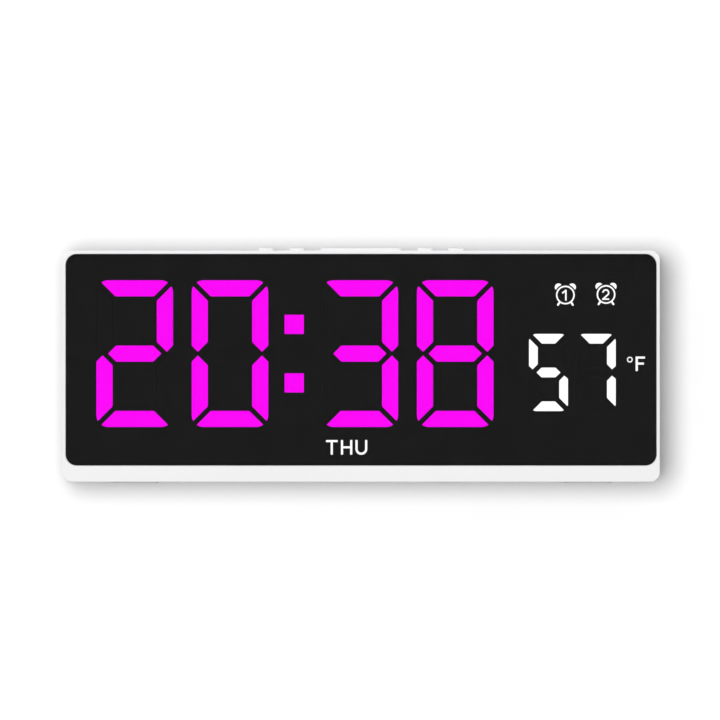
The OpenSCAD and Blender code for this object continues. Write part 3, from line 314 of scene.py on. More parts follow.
def plated_metal(name, rgb, rough, brush=(40, 40, 400)):
    """Plated metal with fine strokes, shorter along an axis where brush is larger"""
    finish = Finish(name).set(Metallic=1.0)
    strokes = finish.noise(30 * MM, detail=4, vector=finish.mapped(Scale=brush))
    finish.tinted(strokes, shaded(rgb, 0.85), shaded(rgb, 1.08))
    finish.rough(strokes, rough - 0.08, rough + 0.1)
    return finish.bumped(strokes, 0.006 * MM).material


def clear_silicone(name, rgb):
    """Soft clear silicone with a pebbled skin"""
    finish = Finish(name).set(Specular_IOR_Level=0.4, Subsurface_Weight=0.2)
    finish.tinted(finish.noise(5 * MM), shaded(rgb, 0.94), rgb)
    finish.rough(finish.noise(0.8 * MM, detail=3), 0.48, 0.62)
    return finish.bumped(finish.cells(0.6 * MM), 0.03 * MM).material


def made_once(name, build, *values):
    """The material of that name, built where it is asked for first"""
    return bpy.data.materials.get(name) or build(name, *values)


def bright_tin():
    return made_once("bright_tin", plated_metal, (0.75, 0.76, 0.77), 0.24)


def housing_black():
    return made_once("housing_black", black_plastic, (0.025, 0.025, 0.027), 0.5)


def mark_ink():
    return made_once("mark_ink", black_plastic, bpy.context.scene.clock_finish.mark_grey, 0.6)


def dress(material, *names):
    """Gives CAD nodes a material"""
    for name in names:
        for slot in nodes[name].material_slots:
            slot.material = material


# Flat outlines in millimetres, and shapes, each of which is an outline and its cut or None


def in_mm(*sizes):
    return [size / MM for size in sizes]


def polar(radius, turn, x=0.0, y=0.0):
    """The point at that radius and turn, in degrees, from a centre"""
    angle = math.radians(turn)
    return x + radius * math.cos(angle), y + radius * math.sin(angle)


def arc(x, y, radius, start, end, steps=ROUND_STEPS):
    return [polar(radius, start + (end - start) * i / steps, x, y) for i in range(steps + 1)]


def disc(x, y, radius, steps=RING_STEPS):
    return arc(x, y, radius, 0, 360, steps)[:-1]


def rounded_rectangle(width, height, radius):
    x, y = width / 2 - radius, height / 2 - radius
    corners = ((x, y, 0), (-x, y, 90), (-x, -y, 180), (x, -y, 270))
    return [point for cx, cy, start in corners for point in arc(cx, cy, radius, start, start + 90)]


def mirrored(right):
    """A whole outline from its right half"""
    return right + [(-x, y) for x, y in reversed(right)]


def ring(x, y, radius, stroke):
    return [(disc(x, y, radius), disc(x, y, radius - stroke))]


def bent_line(points, width, round_ends=True):
    """Shapes of a line of that width through the points, with round corners and round or square ends"""
    rounded = points if round_ends else points[1:-1]
    shapes = [disc(x, y, width / 2, steps=4 * ROUND_STEPS) for x, y in rounded]
    for (x0, y0), (x1, y1) in zip(points, points[1:]):
        run = Vector((x1 - x0, y1 - y0)).normalized() * width / 2
        right = [(x0 + run.y, y0 - run.x), (x1 + run.y, y1 - run.x)]
        left = [(x1 - run.y, y1 + run.x), (x0 - run.y, y0 + run.x)]
        shapes.append(right + left)
    return [(shape, None) for shape in shapes]


def lettering(strokes):
    """Shapes of square-ended strokes, each given as its points and its width"""
    return [shape for points, width in strokes for shape in bent_line(points, width, round_ends=False)]


# Marks printed on the keys, in millimetres from a key's middle


def key_marks():
    """A dial, a minus, three dots, a plus and a sun, by the body that carries each"""
    stroke, fine_stroke = 0.45, 0.35
    arm = 1.3
    dial, minute_hand, hour_hand = 1.7, 0.95, 0.7
    dot, dot_pitch = 0.8, 4
    sun, ray_start, ray_end, ray_turn = 0.9, 1.45, 2.0, 45
    minus = bent_line([(-arm, 0), (arm, 0)], stroke)
    upright = bent_line([(0, -arm), (0, arm)], stroke)
    hands = bent_line([(0, minute_hand), (0, 0), (hour_hand, 0)], fine_stroke)
    rays = [
        shape
        for turn in range(0, 360, ray_turn)
        for shape in bent_line([polar(ray_start, turn), polar(ray_end, turn)], fine_stroke)
    ]
    return {
        "left_outer": ring(0, 0, dial, stroke) + hands,
        "left_inner": minus,
        "snooze": [(disc(x, 0, dot), None) for x in (-dot_pitch, 0, dot_pitch)],
        "right_inner": minus + upright,
        "right_outer": [(disc(0, 0, sun), None)] + rays,
    }


# Lit strokes of the temperature, in millimetres from a digit's middle


def corner_turn(cut, radius):
    """Degrees along a round corner from its diagonal to where a stroke's cut end meets it"""
    return math.degrees(math.asin(cut / radius / math.sqrt(2)))


def upper_bar(half_w, half_h, signs):
    """A digit's top stroke, drawn clockwise"""
    stroke, cut, radius = in_mm(signs.bar_stroke, signs.bar_cut, signs.digit_radius)
    corner = arc(half_w - radius, half_h - radius, radius, 90, 45 + corner_turn(cut, radius))
    return mirrored([*corner, (half_w - stroke - cut, half_h - stroke)])


def middle_bar(signs):
    """A digit's middle stroke, drawn clockwise"""
    stroke, tip, shoulder = in_mm(signs.bar_stroke, signs.bar_tip, signs.bar_shoulder)
    return mirrored([(shoulder, stroke / 2), (tip, 0), (shoulder, -stroke / 2)])


def upper_right_post(half_w, half_h, signs):
    """A digit's upright stroke on the upper right, drawn clockwise"""
    stroke, cut, radius = in_mm(signs.post_stroke, signs.post_cut, signs.digit_radius)
    tip, inset, outer, inner = in_mm(signs.post_tip, signs.post_inset, signs.post_outer, signs.post_inner)
    corner = arc(half_w - radius, half_h - radius, radius, 45 - corner_turn(cut, radius), 0)
    point = [(half_w, outer), (half_w - inset, tip), (half_w - stroke, inner)]
    return [*corner, *point, (half_w - stroke, half_h - stroke - cut)]


def segment(letter, half_w, half_h, signs):
    """One stroke of a seven-segment digit, flipped to its place and drawn anticlockwise"""
    if letter == "g":
        outline = middle_bar(signs)
    elif letter in "ad":
        outline = upper_bar(half_w, half_h, signs)
    else:
        outline = upper_right_post(half_w, half_h, signs)
    flip_x = -1 if letter in "ef" else 1
    flip_y = -1 if letter in "cde" else 1
    flipped = [(flip_x * x, flip_y * y) for x, y in outline]
    return flipped if flip_x * flip_y < 0 else flipped[::-1]


def temperature_lights(signs):
    """Name, shapes and middle of each temperature digit's light, both of the tens digit's size"""
    low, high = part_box("temperature_tens_digit")
    half_w, half_h = (high.x - low.x) / 2, (high.z - low.z) / 2
    for node, letters in TEMPERATURE_DIGITS.items():
        shapes = [(segment(letter, *in_mm(half_w, half_h), signs), None) for letter in letters]
        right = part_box(node)[1].x
        yield node.replace("digit", "light"), shapes, right - half_w, low.z + half_h


# Lit signs in millimetres, from the middle of an alarm's ring or of the lens's lower edge


def numeral(number):
    """The figure one or two inside an alarm sign's ring"""
    if number == 1:
        stroke = 0.64
        stem, top, foot = 0.2, 1.93, -2.33
        flag = (-1.3, 0.75)
        return lettering([([flag, (stem, top), (stem, foot)], stroke)])
    stroke = 0.62
    left, right, foot = -1.34, 1.32, -1.96
    bowl_x, bowl_y, bowl_radius = -0.1, 0.7, 1.2
    bowl_start, bowl_end = 175, -38
    bowl = arc(bowl_x, bowl_y, bowl_radius, bowl_start, bowl_end, steps=20)
    return lettering([([*bowl, (left, foot), (right, foot)], stroke)])


def alarm_sign(number, signs):
    """A ring with a number in it, two bells and two feet"""
    radius, stroke = in_mm(signs.ring_radius, signs.ring_stroke)
    bell, bell_gap = in_mm(signs.bell_radius, signs.bell_gap)
    bell_x, bell_y = 2.86, 3.3
    ankle_x, ankle_y, toe_x, toe_y, foot_stroke = 2.3, -2.9, 3.1, -4.1, 0.8
    bell_cut = disc(0, 0, radius + bell_gap)
    shapes = ring(0, 0, radius, stroke) + numeral(number)
    for side in (-1, 1):
        shapes.append((disc(side * bell_x, bell_y, bell), bell_cut))
        shapes += bent_line([(side * ankle_x, ankle_y), (side * toe_x, toe_y)], foot_stroke)
    return shapes


def weekday_sign(signs):
    """The weekday's letters T, H and U"""
    stroke = signs.weekday_stroke / MM
    thin = 0.94 * stroke
    top, middle, foot = 10.61, 7.58, 4.53
    t_left, t_stem, t_right = -14.68, -12.28, -9.8
    h_left, h_right = -7.99, -4.14
    u_left, u_right, bowl_y = -1.92, 2.12, 6.92
    bar_y = top - thin / 2
    bowl = arc((u_left + u_right) / 2, bowl_y, (u_right - u_left) / 2, 180, 360, steps=24)
    return lettering(
        [
            ([(t_left, bar_y), (t_right, bar_y)], thin),
            ([(t_stem, top), (t_stem, foot)], stroke),
            ([(h_left, top), (h_left, foot)], stroke),
            ([(h_right, top), (h_right, foot)], stroke),
            ([(h_left, middle), (h_right, middle)], thin),
            ([(u_left, top), *bowl, (u_right, top)], stroke),
        ]
    )


def degree_sign(signs):
    """The degree ring and the letter F"""
    ring_x, ring_y, ring_stroke = 112.5, 44.28, 0.42
    stroke, thin = 0.92, 0.86
    top, middle, foot = 45.58, 42.63, 39.52
    stem, top_end, middle_end = 115.4, 118.82, 118.36
    bar_y = top - thin / 2
    letter = [
        ([(stem, foot), (stem, top)], stroke),
        ([(stem - stroke / 2, bar_y), (top_end, bar_y)], thin),
        ([(stem, middle), (middle_end, middle)], thin),
    ]
    return ring(ring_x, ring_y, signs.degree_radius / MM, ring_stroke) + lettering(letter)


# Plates: flat shapes given a thickness


def facing_front(x, y, z):
    return Matrix(((1, 0, 0, x), (0, 0, -1, y), (0, 1, 0, z), (0, 0, 0, 1)))


def facing_rear(x, y, z):
    return Matrix(((-1, 0, 0, x), (0, 0, 1, y), (0, 1, 0, z), (0, 0, 0, 1)))


def facing_up(x, y, z):
    return Matrix.Translation((x, y, z))


def add_piece(name, mesh, body):
    """Puts a finished mesh into the scene and on a body"""
    made = bpy.data.objects.new(name, mesh)
    bpy.context.scene.collection.objects.link(made)
    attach(made, body)


def joined(shapes):
    """Points and flat faces of the shapes laid over each other as one"""
    inside_only, tolerance = 1, 1e-6
    points, loops, wanted = [], [], []
    for shape in shapes:
        pair = []
        for loop in shape:
            pair.append(len(loops) if loop else None)
            if loop:
                loops.append(list(range(len(points), len(points) + len(loop))))
                points += [Vector(point) for point in loop]
        wanted.append(pair)
    flat, _, faces, _, _, origins = delaunay_2d_cdt(points, [], loops, inside_only, tolerance)
    kept = [
        face
        for face, inside in zip(faces, origins)
        if any(outline in inside and cut not in inside for outline, cut in wanted)
    ]
    return flat, kept


def plate(name, shapes, place, thickness, material, body):
    """A thin plate of the joined shapes, standing on the place's plane"""
    flat, faces = joined(shapes)
    edges = {(a, b) for face in faces for a, b in zip(face, face[1:] + face[:1])}
    rim = sorted((a, b) for a, b in edges if (b, a) not in edges)
    used = sorted({i for face in faces for i in face})
    lower = {old: new for new, old in enumerate(used)}
    upper = {old: new + len(used) for old, new in lower.items()}
    corners = [place @ Vector((*(flat[i] * MM), lift)) for lift in (0, thickness) for i in used]
    bottoms = [[lower[i] for i in reversed(face)] for face in faces]
    tops = [[upper[i] for i in face] for face in faces]
    sides = [[lower[a], lower[b], upper[b], upper[a]] for a, b in rim]
    mesh = bpy.data.meshes.new(name)
    mesh.from_pydata(corners, [], bottoms + tops + sides)
    mesh.materials.append(material)
    add_piece(name, mesh, body)


def print_mark(name, shapes, place, body):
    """Prints a mark in dark ink"""
    thickness = bpy.context.scene.clock_signs.print_thickness
    plate(name, shapes, place, thickness, mark_ink(), body)


def print_border(look, film):
    """Prints a border on the back of the lens, in the thin gap before its tape and over the tape's edge"""
    low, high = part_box("lens")
    middle = (low + high) / 2
    tape_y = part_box("lens_tape")[0].y
    gap = tape_y - high.y
    clear = gap / 6
    inset, border, radius = in_mm(look.border_inset, look.border_width, look.border_radius)
    width, height = in_mm(high.x - low.x, high.z - low.z)
    width, height = width - 2 * inset, height - 2 * inset
    outline = rounded_rectangle(width, height, radius)
    cut = rounded_rectangle(width - 2 * border, height - 2 * border, radius - border)
    place = facing_front(middle.x, tape_y - clear, middle.z)
    plate("lens_border", [(outline, cut)], place, gap - 2 * clear, film, CASE)


def mark_door():
    """Prints an arrow and a pointer on the cell's door, and beside it a dot for shut and a ring for open"""
    low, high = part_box("cell_door")
    middle = (low + high) / 2
    radius = (high.x - low.x) / 2 / MM
    door = facing_rear(middle.x, high.y, middle.z)
    cover = facing_rear(middle.x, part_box("rear_cover")[1].y, middle.z)

    stroke, barb = 0.5, 0.9
    track = radius - 2.4
    tail_turn, head_turn, barb_turn, tip_turn = 60, 120, 114, 122
    arrow = bent_line(arc(0, 0, track, tail_turn, head_turn, steps=20), stroke)
    for barb_radius in (track + barb, track - barb):
        arrow += bent_line([polar(barb_radius, barb_turn), polar(track, tip_turn)], stroke)
    print_mark("door_arrow", arrow, door, "cell_door")

    half_w, base, tip = 0.9, radius - 1.8, radius - 0.5
    pointer = [(-half_w, base), (half_w, base), (0, tip)]
    print_mark("door_pointer", [(pointer, None)], door @ Matrix.Rotation(math.pi, 4, "Z"), "cell_door")

    limit_radius, shut_turn, open_turn = radius + 2.2, -90, -30
    dot, ring_radius, ring_stroke = 0.75, 0.85, 0.35
    limits = [(disc(*polar(limit_radius, shut_turn), dot), None)]
    limits += ring(*polar(limit_radius, open_turn), ring_radius, ring_stroke)
    print_mark("door_limits", limits, cover, CASE)


def mark_inlet():
    """Prints the sign for direct current and 5 V below the power inlet"""
    stroke, top, foot = 0.3, 1.2, -1.2
    line_start, line_end, line_y = -3.9, -1.5, 0.6
    dashes, dash, dash_pitch, dash_y = 3, 0.5, 0.95, -0.4
    five_left, five_right, neck = 0.2, 1.5, (0.1, 0.15)
    bowl_x, bowl_y, bowl_radius = 0.7, -0.4, 0.8
    bowl_start, bowl_end = 115, -140
    v_left, v_middle, v_right = 2.3, 3.1, 3.9
    supply = bent_line([(line_start, line_y), (line_end, line_y)], stroke)
    for i in range(dashes):
        start = line_start + dash_pitch * i
        supply += bent_line([(start, dash_y), (start + dash, dash_y)], stroke)
    bowl = arc(bowl_x, bowl_y, bowl_radius, bowl_start, bowl_end, steps=16)
    five = [(five_right, top), (five_left, top), neck, *bowl]
    volts = [(v_left, top), (v_middle, foot), (v_right, top)]
    supply += bent_line(five, stroke) + bent_line(volts, stroke)

    drop = 4 * MM
    low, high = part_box("power_socket_shell")
    place = facing_rear((low.x + high.x) / 2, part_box("rear_cover")[1].y, low.z - drop)
    print_mark("supply_mark", supply, place, CASE)


# Repeated parts on the boards


def repeat_tree(name):
    """Boxes of one size on every point of a mesh, made real and given a material"""
    tree = bpy.data.node_groups.new(name, "GeometryNodeTree")
    tree.interface.new_socket("Points", in_out="INPUT", socket_type="NodeSocketGeometry")
    tree.interface.new_socket("Size", in_out="INPUT", socket_type="NodeSocketVector")
    tree.interface.new_socket("Offset", in_out="INPUT", socket_type="NodeSocketVector")
    tree.interface.new_socket("Finish", in_out="INPUT", socket_type="NodeSocketMaterial")
    tree.interface.new_socket("Parts", in_out="OUTPUT", socket_type="NodeSocketGeometry")
    given = tree.nodes.new("NodeGroupInput")
    cube = tree.nodes.new("GeometryNodeMeshCube")
    moved = tree.nodes.new("GeometryNodeTransform")
    placed = tree.nodes.new("GeometryNodeInstanceOnPoints")
    real = tree.nodes.new("GeometryNodeRealizeInstances")
    finish = tree.nodes.new("GeometryNodeSetMaterial")
    result = tree.nodes.new("NodeGroupOutput")
    for source, target in (
        (given.outputs["Size"], cube.inputs["Size"]),
        (cube.outputs["Mesh"], moved.inputs["Geometry"]),
        (given.outputs["Offset"], moved.inputs["Translation"]),
        (given.outputs["Points"], placed.inputs["Points"]),
        (moved.outputs["Geometry"], placed.inputs["Instance"]),
        (placed.outputs["Instances"], real.inputs["Geometry"]),
        (real.outputs["Geometry"], finish.inputs["Geometry"]),
        (given.outputs["Finish"], finish.inputs["Material"]),
        (finish.outputs["Geometry"], result.inputs["Parts"]),
    ):
        tree.links.new(source, target)
    return tree


def repeated(name, places, size, offset, material):
    """One piece with a box of that size at every place, moved from it by the offset"""
    tree = bpy.data.node_groups.get(BOX_TREE) or repeat_tree(BOX_TREE)
    points = bpy.data.meshes.new(name + "_points")
    points.from_pydata(places, [], [])
    seed = bpy.data.objects.new(name + "_points", points)
    bpy.context.scene.collection.objects.link(seed)
    modifier = seed.modifiers.new("Boxes", "NODES")
    modifier.node_group = tree
    sockets = {item.name: item.identifier for item in tree.interface.items_tree if item.in_out == "INPUT"}
    modifier[sockets["Size"]] = size
    modifier[sockets["Offset"]] = offset
    modifier[sockets["Finish"]] = material
    graph = bpy.context.evaluated_depsgraph_get()
    mesh = bpy.data.meshes.new_from_object(seed.evaluated_get(graph), depsgraph=graph)
    mesh.name = name
    bpy.data.objects.remove(seed)
    bpy.data.meshes.remove(points)
    add_piece(name, mesh, CASE)


def lamp_places():
    """Middles of the lamps' front faces, from the separate boxes of their node"""
    squarely, near = 0.9, 0.1 * MM
    mesh = nodes["display_leds"].data
    front = min(v.co.y for v in mesh.vertices)
    tops = [p for p in mesh.polygons if -p.normal.y > squarely and abs(p.center.y - front) < near]
    places = {}
    for face in tops:
        corners = [mesh.vertices[i].co for i in face.vertices]
        pairs = [(a, b) for a in corners for b in corners]
        first, last = max(pairs, key=lambda pair: (pair[0] - pair[1]).length)
        middle = (first + last) / 2
        places[(round(middle.x / MM, 2), round(middle.z / MM, 2))] = middle
    return [places[key] for key in sorted(places)]


def add_lamp_windows():
    """A yellow window in the front face of every lamp"""
    phosphor = moulded_plastic(
        "lamp_phosphor", (0.72, 0.6, 0.12), rough=0.5, grain=0.1 * MM, depth=0.01 * MM, mottle=0.1
    )
    window = (1.6 * MM, 0.06 * MM, 1.6 * MM)
    lamps = lamp_places()
    front = min(p.y for p in lamps)
    places = [(p.x, front, p.z) for p in lamps]
    repeated("lamp_windows", places, window, (0, 0, 0), phosphor)


def add_resistors():
    """A row of resistors above each driver chip, with a tinned cap at both ends of each"""
    per_chip, first, pitch, rise = 8, 0.8 * MM, 1.95 * MM, 4 * MM
    chip_length = 15.4 * MM
    width, depth, body_height, cap_height = 0.8 * MM, 0.45 * MM, 1.2 * MM, 0.2 * MM
    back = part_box("display_board")[1].y
    low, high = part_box("driver_chips")
    places = [
        (chip + first + pitch * i, back, high.z + rise)
        for chip in (low.x, high.x - chip_length)
        for i in range(per_chip)
    ]
    body, cap = (width, depth, body_height), (width, depth, cap_height)
    lift = (body_height + cap_height) / 2
    repeated("board_resistors", places, body, (0, depth / 2, 0), housing_black())
    repeated("resistor_upper_caps", places, cap, (0, depth / 2, lift), bright_tin())
    repeated("resistor_lower_caps", places, cap, (0, depth / 2, -lift), bright_tin())


# Studio


def combined(tree, operation, first, second):
    """Output of a Math node that takes a socket, and a socket or a number"""
    made = tree.nodes.new("ShaderNodeMath")
    made.operation = operation
    tree.links.new(first, made.inputs[0])
    if isinstance(second, bpy.types.NodeSocket):
        tree.links.new(second, made.inputs[1])
    else:
        made.inputs[1].default_value = second
    return made.outputs["Value"]


def pale_paper(name, lift):
    """White paper that takes shadows, shows the camera a little more light and is clear from its back"""
    finish = Finish(name).set(Specular_IOR_Level=0.0, Emission_Color=(1, 1, 1))
    finish.tinted(finish.noise(0.3), (0.935, 0.935, 0.935), (0.945, 0.945, 0.945))
    finish.rough(finish.noise(0.02), 0.85, 0.95)
    rays = finish.node("ShaderNodeLightPath")
    shown = combined(finish.tree, "MULTIPLY", rays.outputs["Is Camera Ray"], lift)
    finish.link(shown, finish.shader.inputs["Emission Strength"])
    side = finish.node("ShaderNodeNewGeometry")
    clear = finish.node("ShaderNodeBsdfTransparent")
    mix = finish.node("ShaderNodeMixShader")
    output = next(n for n in finish.tree.nodes if n.type == "OUTPUT_MATERIAL")
    finish.link(side.outputs["Backfacing"], mix.inputs["Fac"])
    finish.link(finish.shader.outputs["BSDF"], mix.inputs[1])
    finish.link(clear.outputs["BSDF"], mix.inputs[2])
    finish.link(mix.outputs["Shader"], output.inputs["Surface"])
    return finish.material


def sheet(name, corners, material):
    """A flat sheet of paper that lights and shades nothing else"""
    mesh = bpy.data.meshes.new(name)
    mesh.from_pydata(corners, [], [(0, 1, 2, 3)])
    mesh.materials.append(material)
    made = bpy.data.objects.new(name, mesh)
    made.visible_diffuse = made.visible_glossy = made.visible_transmission = made.visible_shadow = False
    bpy.context.scene.collection.objects.link(made)
    return made


def add_papers(stage, low, high):
    """A wall, and a floor tilted just past the line of sight of the camera, which looks through its back"""
    side, wall_low, wall_high, floor_reach = 1.2, -0.6, 0.8, 0.7
    wall_paper = pale_paper("wall_paper", stage.wall_lift)
    floor_paper = pale_paper("floor_paper", stage.floor_lift)
    wall_y = high.y + stage.wall_gap
    tilt = 1.05 * stage.view_z / stage.camera_distance

    def corners(near, far):
        return ((-side, near), (side, near), (side, far), (-side, far))

    wall = [(x, wall_y, z) for x, z in corners(wall_low, wall_high)]
    floor = [(x, y, (low.y - y) * tilt) for x, y in corners(-floor_reach, floor_reach)]
    return [sheet("wall", wall, wall_paper), sheet("floor", floor, floor_paper)]


def lamp(name, target, way, size, brightness, tall=1.0):
    """A lamp that reflections leave out, so that no pale face is lost in its glare"""
    way = Vector(way)
    light = bpy.data.lights.new(name, "AREA")
    light.shape = "ELLIPSE"
    light.size, light.size_y = size, size * tall
    # The power that gives a white surface at the target this brightness
    light.energy = brightness * math.pi**2 * way.length_squared
    made = bpy.data.objects.new(name, light)
    made.location = target + way
    made.rotation_euler = (-way).to_track_quat("-Z", "Y").to_euler()
    made.visible_camera = made.visible_glossy = False
    bpy.context.scene.collection.objects.link(made)
    return made


def shines_on(source, pieces, state):
    """Lets a lamp light only these pieces, or all but these"""
    group = bpy.data.collections.new(source.name + "_receivers")
    for piece in pieces:
        group.objects.link(piece)
    for entry in group.collection_objects:
        entry.light_linking.link_state = state
    source.light_linking.receiver_collection = group


def straight_light(tree, rays, depth):
    """1 for light at up to that diffuse depth, which falls straight on what is looked at, 0 for the rest"""
    return combined(tree, "LESS_THAN", rays.outputs["Diffuse Depth"], depth + 0.5)


def straight_only(light):
    """Keeps a lamp behind the clock from lighting the wall by way of the clock's back"""
    light.use_nodes = True
    tree = light.node_tree
    rays = tree.nodes.new("ShaderNodeLightPath")
    emission = next(n for n in tree.nodes if n.type == "EMISSION")
    tree.links.new(straight_light(tree, rays, depth=0), emission.inputs["Strength"])


def add_lamps(stage, middle, papers):
    """A front lamp for the clock, one for the papers and the clear feet, and four around the clock"""
    front = lamp("front_lamp", middle, way=(-0.3, -2.8, 0.75), size=0.95, brightness=stage.key_light)
    shines_on(front, papers, "EXCLUDE")
    wall = lamp(
        "wall_lamp", middle, way=(-0.334, -3.0, 0.1), size=1.24, brightness=stage.wall_light, tall=1.1
    )
    shines_on(wall, [*papers, nodes["foot_pads"]], "INCLUDE")
    for name, way, size, brightness in (
        ("rear_lamp", (-0.9, 2.8, 0.6), 1.0, stage.back_light),
        ("top_lamp", (0.0, 0.55, 2.2), 1.2, stage.top_light),
        ("left_lamp", (-2.4, 0.7, 0.5), 0.9, stage.side_light),
        ("right_lamp", (2.4, 0.7, 0.5), 0.9, stage.side_light),
    ):
        straight_only(lamp(name, middle, way, size, brightness).data)


def sky(name, ambient):
    """A white surrounding for the camera and for reflections, and a softer one as light"""
    world = bpy.data.worlds.new(name)
    world.use_nodes = True
    tree = world.node_tree
    background = next(n for n in tree.nodes if n.type == "BACKGROUND")
    background.inputs["Color"].default_value = (1, 1, 1, 1)
    rays = tree.nodes.new("ShaderNodeLightPath")
    seen = rays.outputs["Is Camera Ray"]
    for kind in ("Is Glossy Ray", "Is Transmission Ray"):
        seen = combined(tree, "MAXIMUM", seen, rays.outputs[kind])
    soft = combined(tree, "MULTIPLY", straight_light(tree, rays, depth=1), ambient)
    strength = tree.nodes.new("ShaderNodeMapRange")
    strength.inputs["To Max"].default_value = 1
    tree.links.new(soft, strength.inputs["To Min"])
    tree.links.new(seen, strength.inputs["Value"])
    tree.links.new(strength.outputs["Result"], background.inputs["Strength"])
    return world


def add_camera(stage, face_y):
    """A camera straight in front of the clock's face"""
    lens = bpy.data.cameras.new("camera")
    lens.angle = 2 * math.atan(stage.view_width / 2 / stage.camera_distance)
    lens.clip_end = 50
    camera = bpy.data.objects.new("camera", lens)
    camera.location = (stage.view_x, face_y - stage.camera_distance, stage.view_z)
    camera.rotation_euler = (math.pi / 2, 0, 0)
    bpy.context.scene.collection.objects.link(camera)
    return camera


# One operator for each group of pieces


class ClockOperator:
    """What all steps share"""

    bl_options = {"REGISTER", "UNDO"}


class CLOCK_OT_stage(ClockOperator, bpy.types.Operator):
    """Set up the wall, the floor, the lamps, the sky and the camera"""

    bl_idname = "clock.stage"
    bl_label = "Studio"

    def execute(self, context):
        scene, stage = context.scene, context.scene.clock_stage
        low, high = map(Vector, CAD_BOX)
        papers = add_papers(stage, low, high)
        add_lamps(stage, (low + high) / 2, papers)
        scene.world = sky("studio_sky", stage.ambient)
        scene.camera = add_camera(stage, low.y)
        scene.view_settings.view_transform = "Standard"
        return {"FINISHED"}


class CLOCK_OT_case(ClockOperator, bpy.types.Operator):
    """Finish the white shell, its screws and its foot pads"""

    bl_idname = "clock.case"
    bl_label = "Case"

    def execute(self, context):
        look = context.scene.clock_finish
        white = moulded_plastic(
            "shell_white", look.shell_white, rough=0.42, grain=look.grain_size, depth=look.grain_depth
        )
        dress(white, "front_housing", "rear_cover", "cell_door")
        steel = plated_metal("zinc_screw", (0.62, 0.63, 0.65), rough=0.34, brush=(200, 200, 200))
        dress(steel, "cover_screws", "display_board_screws", "control_board_screws", "key_board_screws")
        dress(clear_silicone("clear_silicone", look.silicone), "foot_pads")
        return {"FINISHED"}


class CLOCK_OT_keys(ClockOperator, bpy.types.Operator):
    """Finish the keys and their plungers, and print a mark on each key"""

    bl_idname = "clock.keys"
    bl_label = "Keys"

    def execute(self, context):
        look = context.scene.clock_finish
        white = moulded_plastic("key_white", look.key_white, rough=0.34, grain=0.5 * MM, depth=0.006 * MM)
        dress(white, *KEYS.values())
        black = black_plastic("plunger_black", (0.03, 0.03, 0.032), rough=0.5)
        dress(black, *(f"{body}_plunger" for body in KEYS))
        for body, shapes in key_marks().items():
            low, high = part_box(KEYS[body])
            place = facing_up((low.x + high.x) / 2, (low.y + high.y) / 2, high.z)
            print_mark(f"{body}_mark", shapes, place, body)
        return {"FINISHED"}


class CLOCK_OT_display(ClockOperator, bpy.types.Operator):
    """Finish the lens, its tape and mask, the light box and the lit and dark diffusers"""

    bl_idname = "clock.display"
    bl_label = "Display"

    def execute(self, context):
        look = context.scene.clock_finish
        dress(smoked_window("smoked_window", look.lens_cover, look.lens_gloss), "lens")
        dress(black_film("black_tape", look.film_black, rough=0.8), "lens_tape")
        film = black_film("mask_film", look.film_black, rough=0.7)
        dress(film, "display_mask")
        print_border(look, film)
        dark = black_film("dark_diffuser", look.film_black, rough=0.7)
        dress(dark, "unlit_segments", "lamp_diffusers", *TEMPERATURE_DIGITS)
        dress(black_plastic("light_box", (0.02, 0.02, 0.02), rough=0.6, specular=0.1), "reflector_frame")
        dress(glowing_diffuser("magenta_light", look.magenta_glow, look.magenta_strength), *TIME_DIGITS)
        return {"FINISHED"}


class CLOCK_OT_signs(ClockOperator, bpy.types.Operator):
    """Make the lit temperature, alarm signs, weekday and degree sign on the mask"""

    bl_idname = "clock.signs"
    bl_label = "Lit signs"

    def execute(self, context):
        look, signs = context.scene.clock_finish, context.scene.clock_signs
        light = glowing_diffuser("white_light", look.white_glow, look.white_strength)
        mask_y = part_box("display_mask")[0].y
        lens_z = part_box("lens")[0].z
        alarm_z = lens_z + signs.alarm_z
        for name, shapes, x, z in (
            *temperature_lights(signs),
            ("alarm_sign_1", alarm_sign(1, signs), signs.alarm_x1, alarm_z),
            ("alarm_sign_2", alarm_sign(2, signs), signs.alarm_x2, alarm_z + signs.alarm_rise),
            ("weekday_sign", weekday_sign(signs), 0, lens_z),
            ("degree_sign", degree_sign(signs), 0, lens_z),
        ):
            place = facing_front(x, mask_y, z)
            plate(name, shapes, place, signs.thickness, light, CASE)
        return {"FINISHED"}


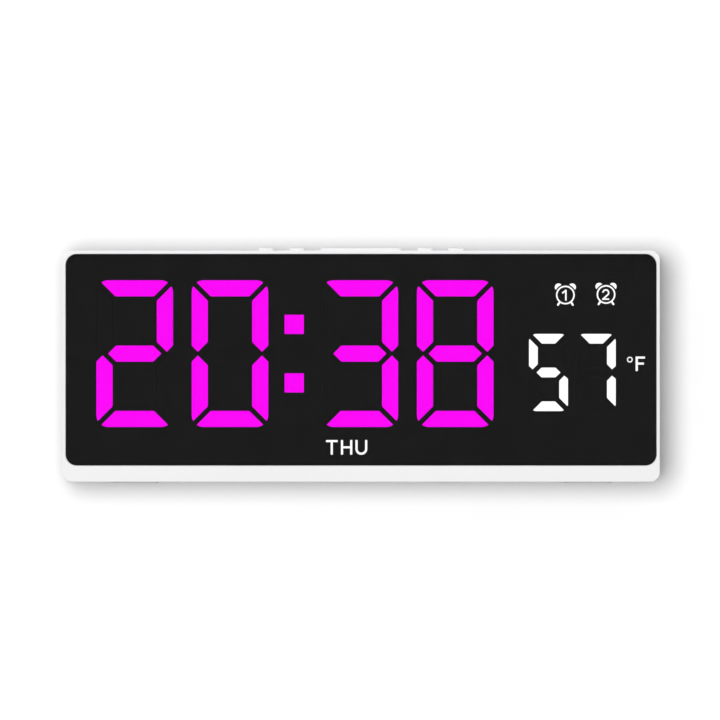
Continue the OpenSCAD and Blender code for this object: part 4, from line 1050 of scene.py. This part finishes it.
class CLOCK_OT_electronics(ClockOperator, bpy.types.Operator):
    """Finish the boards and what they carry, and add the small parts soldered to them"""

    bl_idname = "clock.electronics"
    bl_label = "Electronics"

    def execute(self, context):
        lacquer = circuit_lacquer("board_lacquer", context.scene.clock_finish.board_green)
        dress(lacquer, "display_board", "control_board", "key_board")
        dress(housing_black(), "board_connector", "key_header", "key_switches", "sounder")
        resin = black_plastic("chip_resin", (0.035, 0.035, 0.037), rough=0.62)
        dress(resin, "driver_chips", "microcontroller")
        sleeve = black_plastic("capacitor_sleeve", (0.02, 0.025, 0.06), rough=0.35, specular=0.5)
        dress(sleeve, "smoothing_capacitor")
        bead = black_plastic("sensor_bead", (0.02, 0.018, 0.016), rough=0.3, specular=0.5)
        dress(bead, "temperature_sensor")
        dress(bright_tin(), "quartz_crystal")
        package = moulded_plastic(
            "lamp_package", (0.82, 0.81, 0.76), rough=0.4, grain=0.2 * MM, depth=0.004 * MM
        )
        dress(package, "display_leds")
        add_lamp_windows()
        add_resistors()
        return {"FINISHED"}


class CLOCK_OT_rear(ClockOperator, bpy.types.Operator):
    """Finish and mark the power inlet and the backup cell's door"""

    bl_idname = "clock.rear"
    bl_label = "Power inlet and backup cell"

    def execute(self, context):
        dress(bright_tin(), "power_socket_shell", "coin_cell")
        dress(plated_metal("gold_contact", (0.83, 0.62, 0.24), rough=0.3), "cell_contact")
        dress(housing_black(), "power_socket_tongue", "cell_holder")
        mark_door()
        mark_inlet()
        return {"FINISHED"}


STEPS = (
    CLOCK_OT_stage,
    CLOCK_OT_case,
    CLOCK_OT_keys,
    CLOCK_OT_display,
    CLOCK_OT_signs,
    CLOCK_OT_electronics,
    CLOCK_OT_rear,
)
GROUPS = {"clock_finish": ClockFinish, "clock_signs": ClockSigns, "clock_stage": ClockStage}


class CLOCK_PT_panel(bpy.types.Panel):
    """Steps and settings of the clock"""

    bl_label = "LED Clock"
    bl_idname = "CLOCK_PT_panel"
    bl_space_type = "VIEW_3D"
    bl_region_type = "UI"
    bl_category = "Clock"

    def draw(self, context):
        for step in STEPS:
            self.layout.operator(step.bl_idname)
        for group, kind in GROUPS.items():
            box = self.layout.box()
            for name in kind.__annotations__:
                box.prop(getattr(context.scene, group), name)


def register():
    for kind in (*GROUPS.values(), *STEPS, CLOCK_PT_panel):
        bpy.utils.register_class(kind)
    for group, kind in GROUPS.items():
        setattr(bpy.types.Scene, group, bpy.props.PointerProperty(type=kind))


def unregister():
    for group in GROUPS:
        delattr(bpy.types.Scene, group)
    for kind in reversed((*GROUPS.values(), *STEPS, CLOCK_PT_panel)):
        bpy.utils.unregister_class(kind)


def main():
    register()
    for step in STEPS:
        area, name = step.bl_idname.split(".")
        getattr(getattr(bpy.ops, area), name)()


if __name__ == "__main__":
    main()
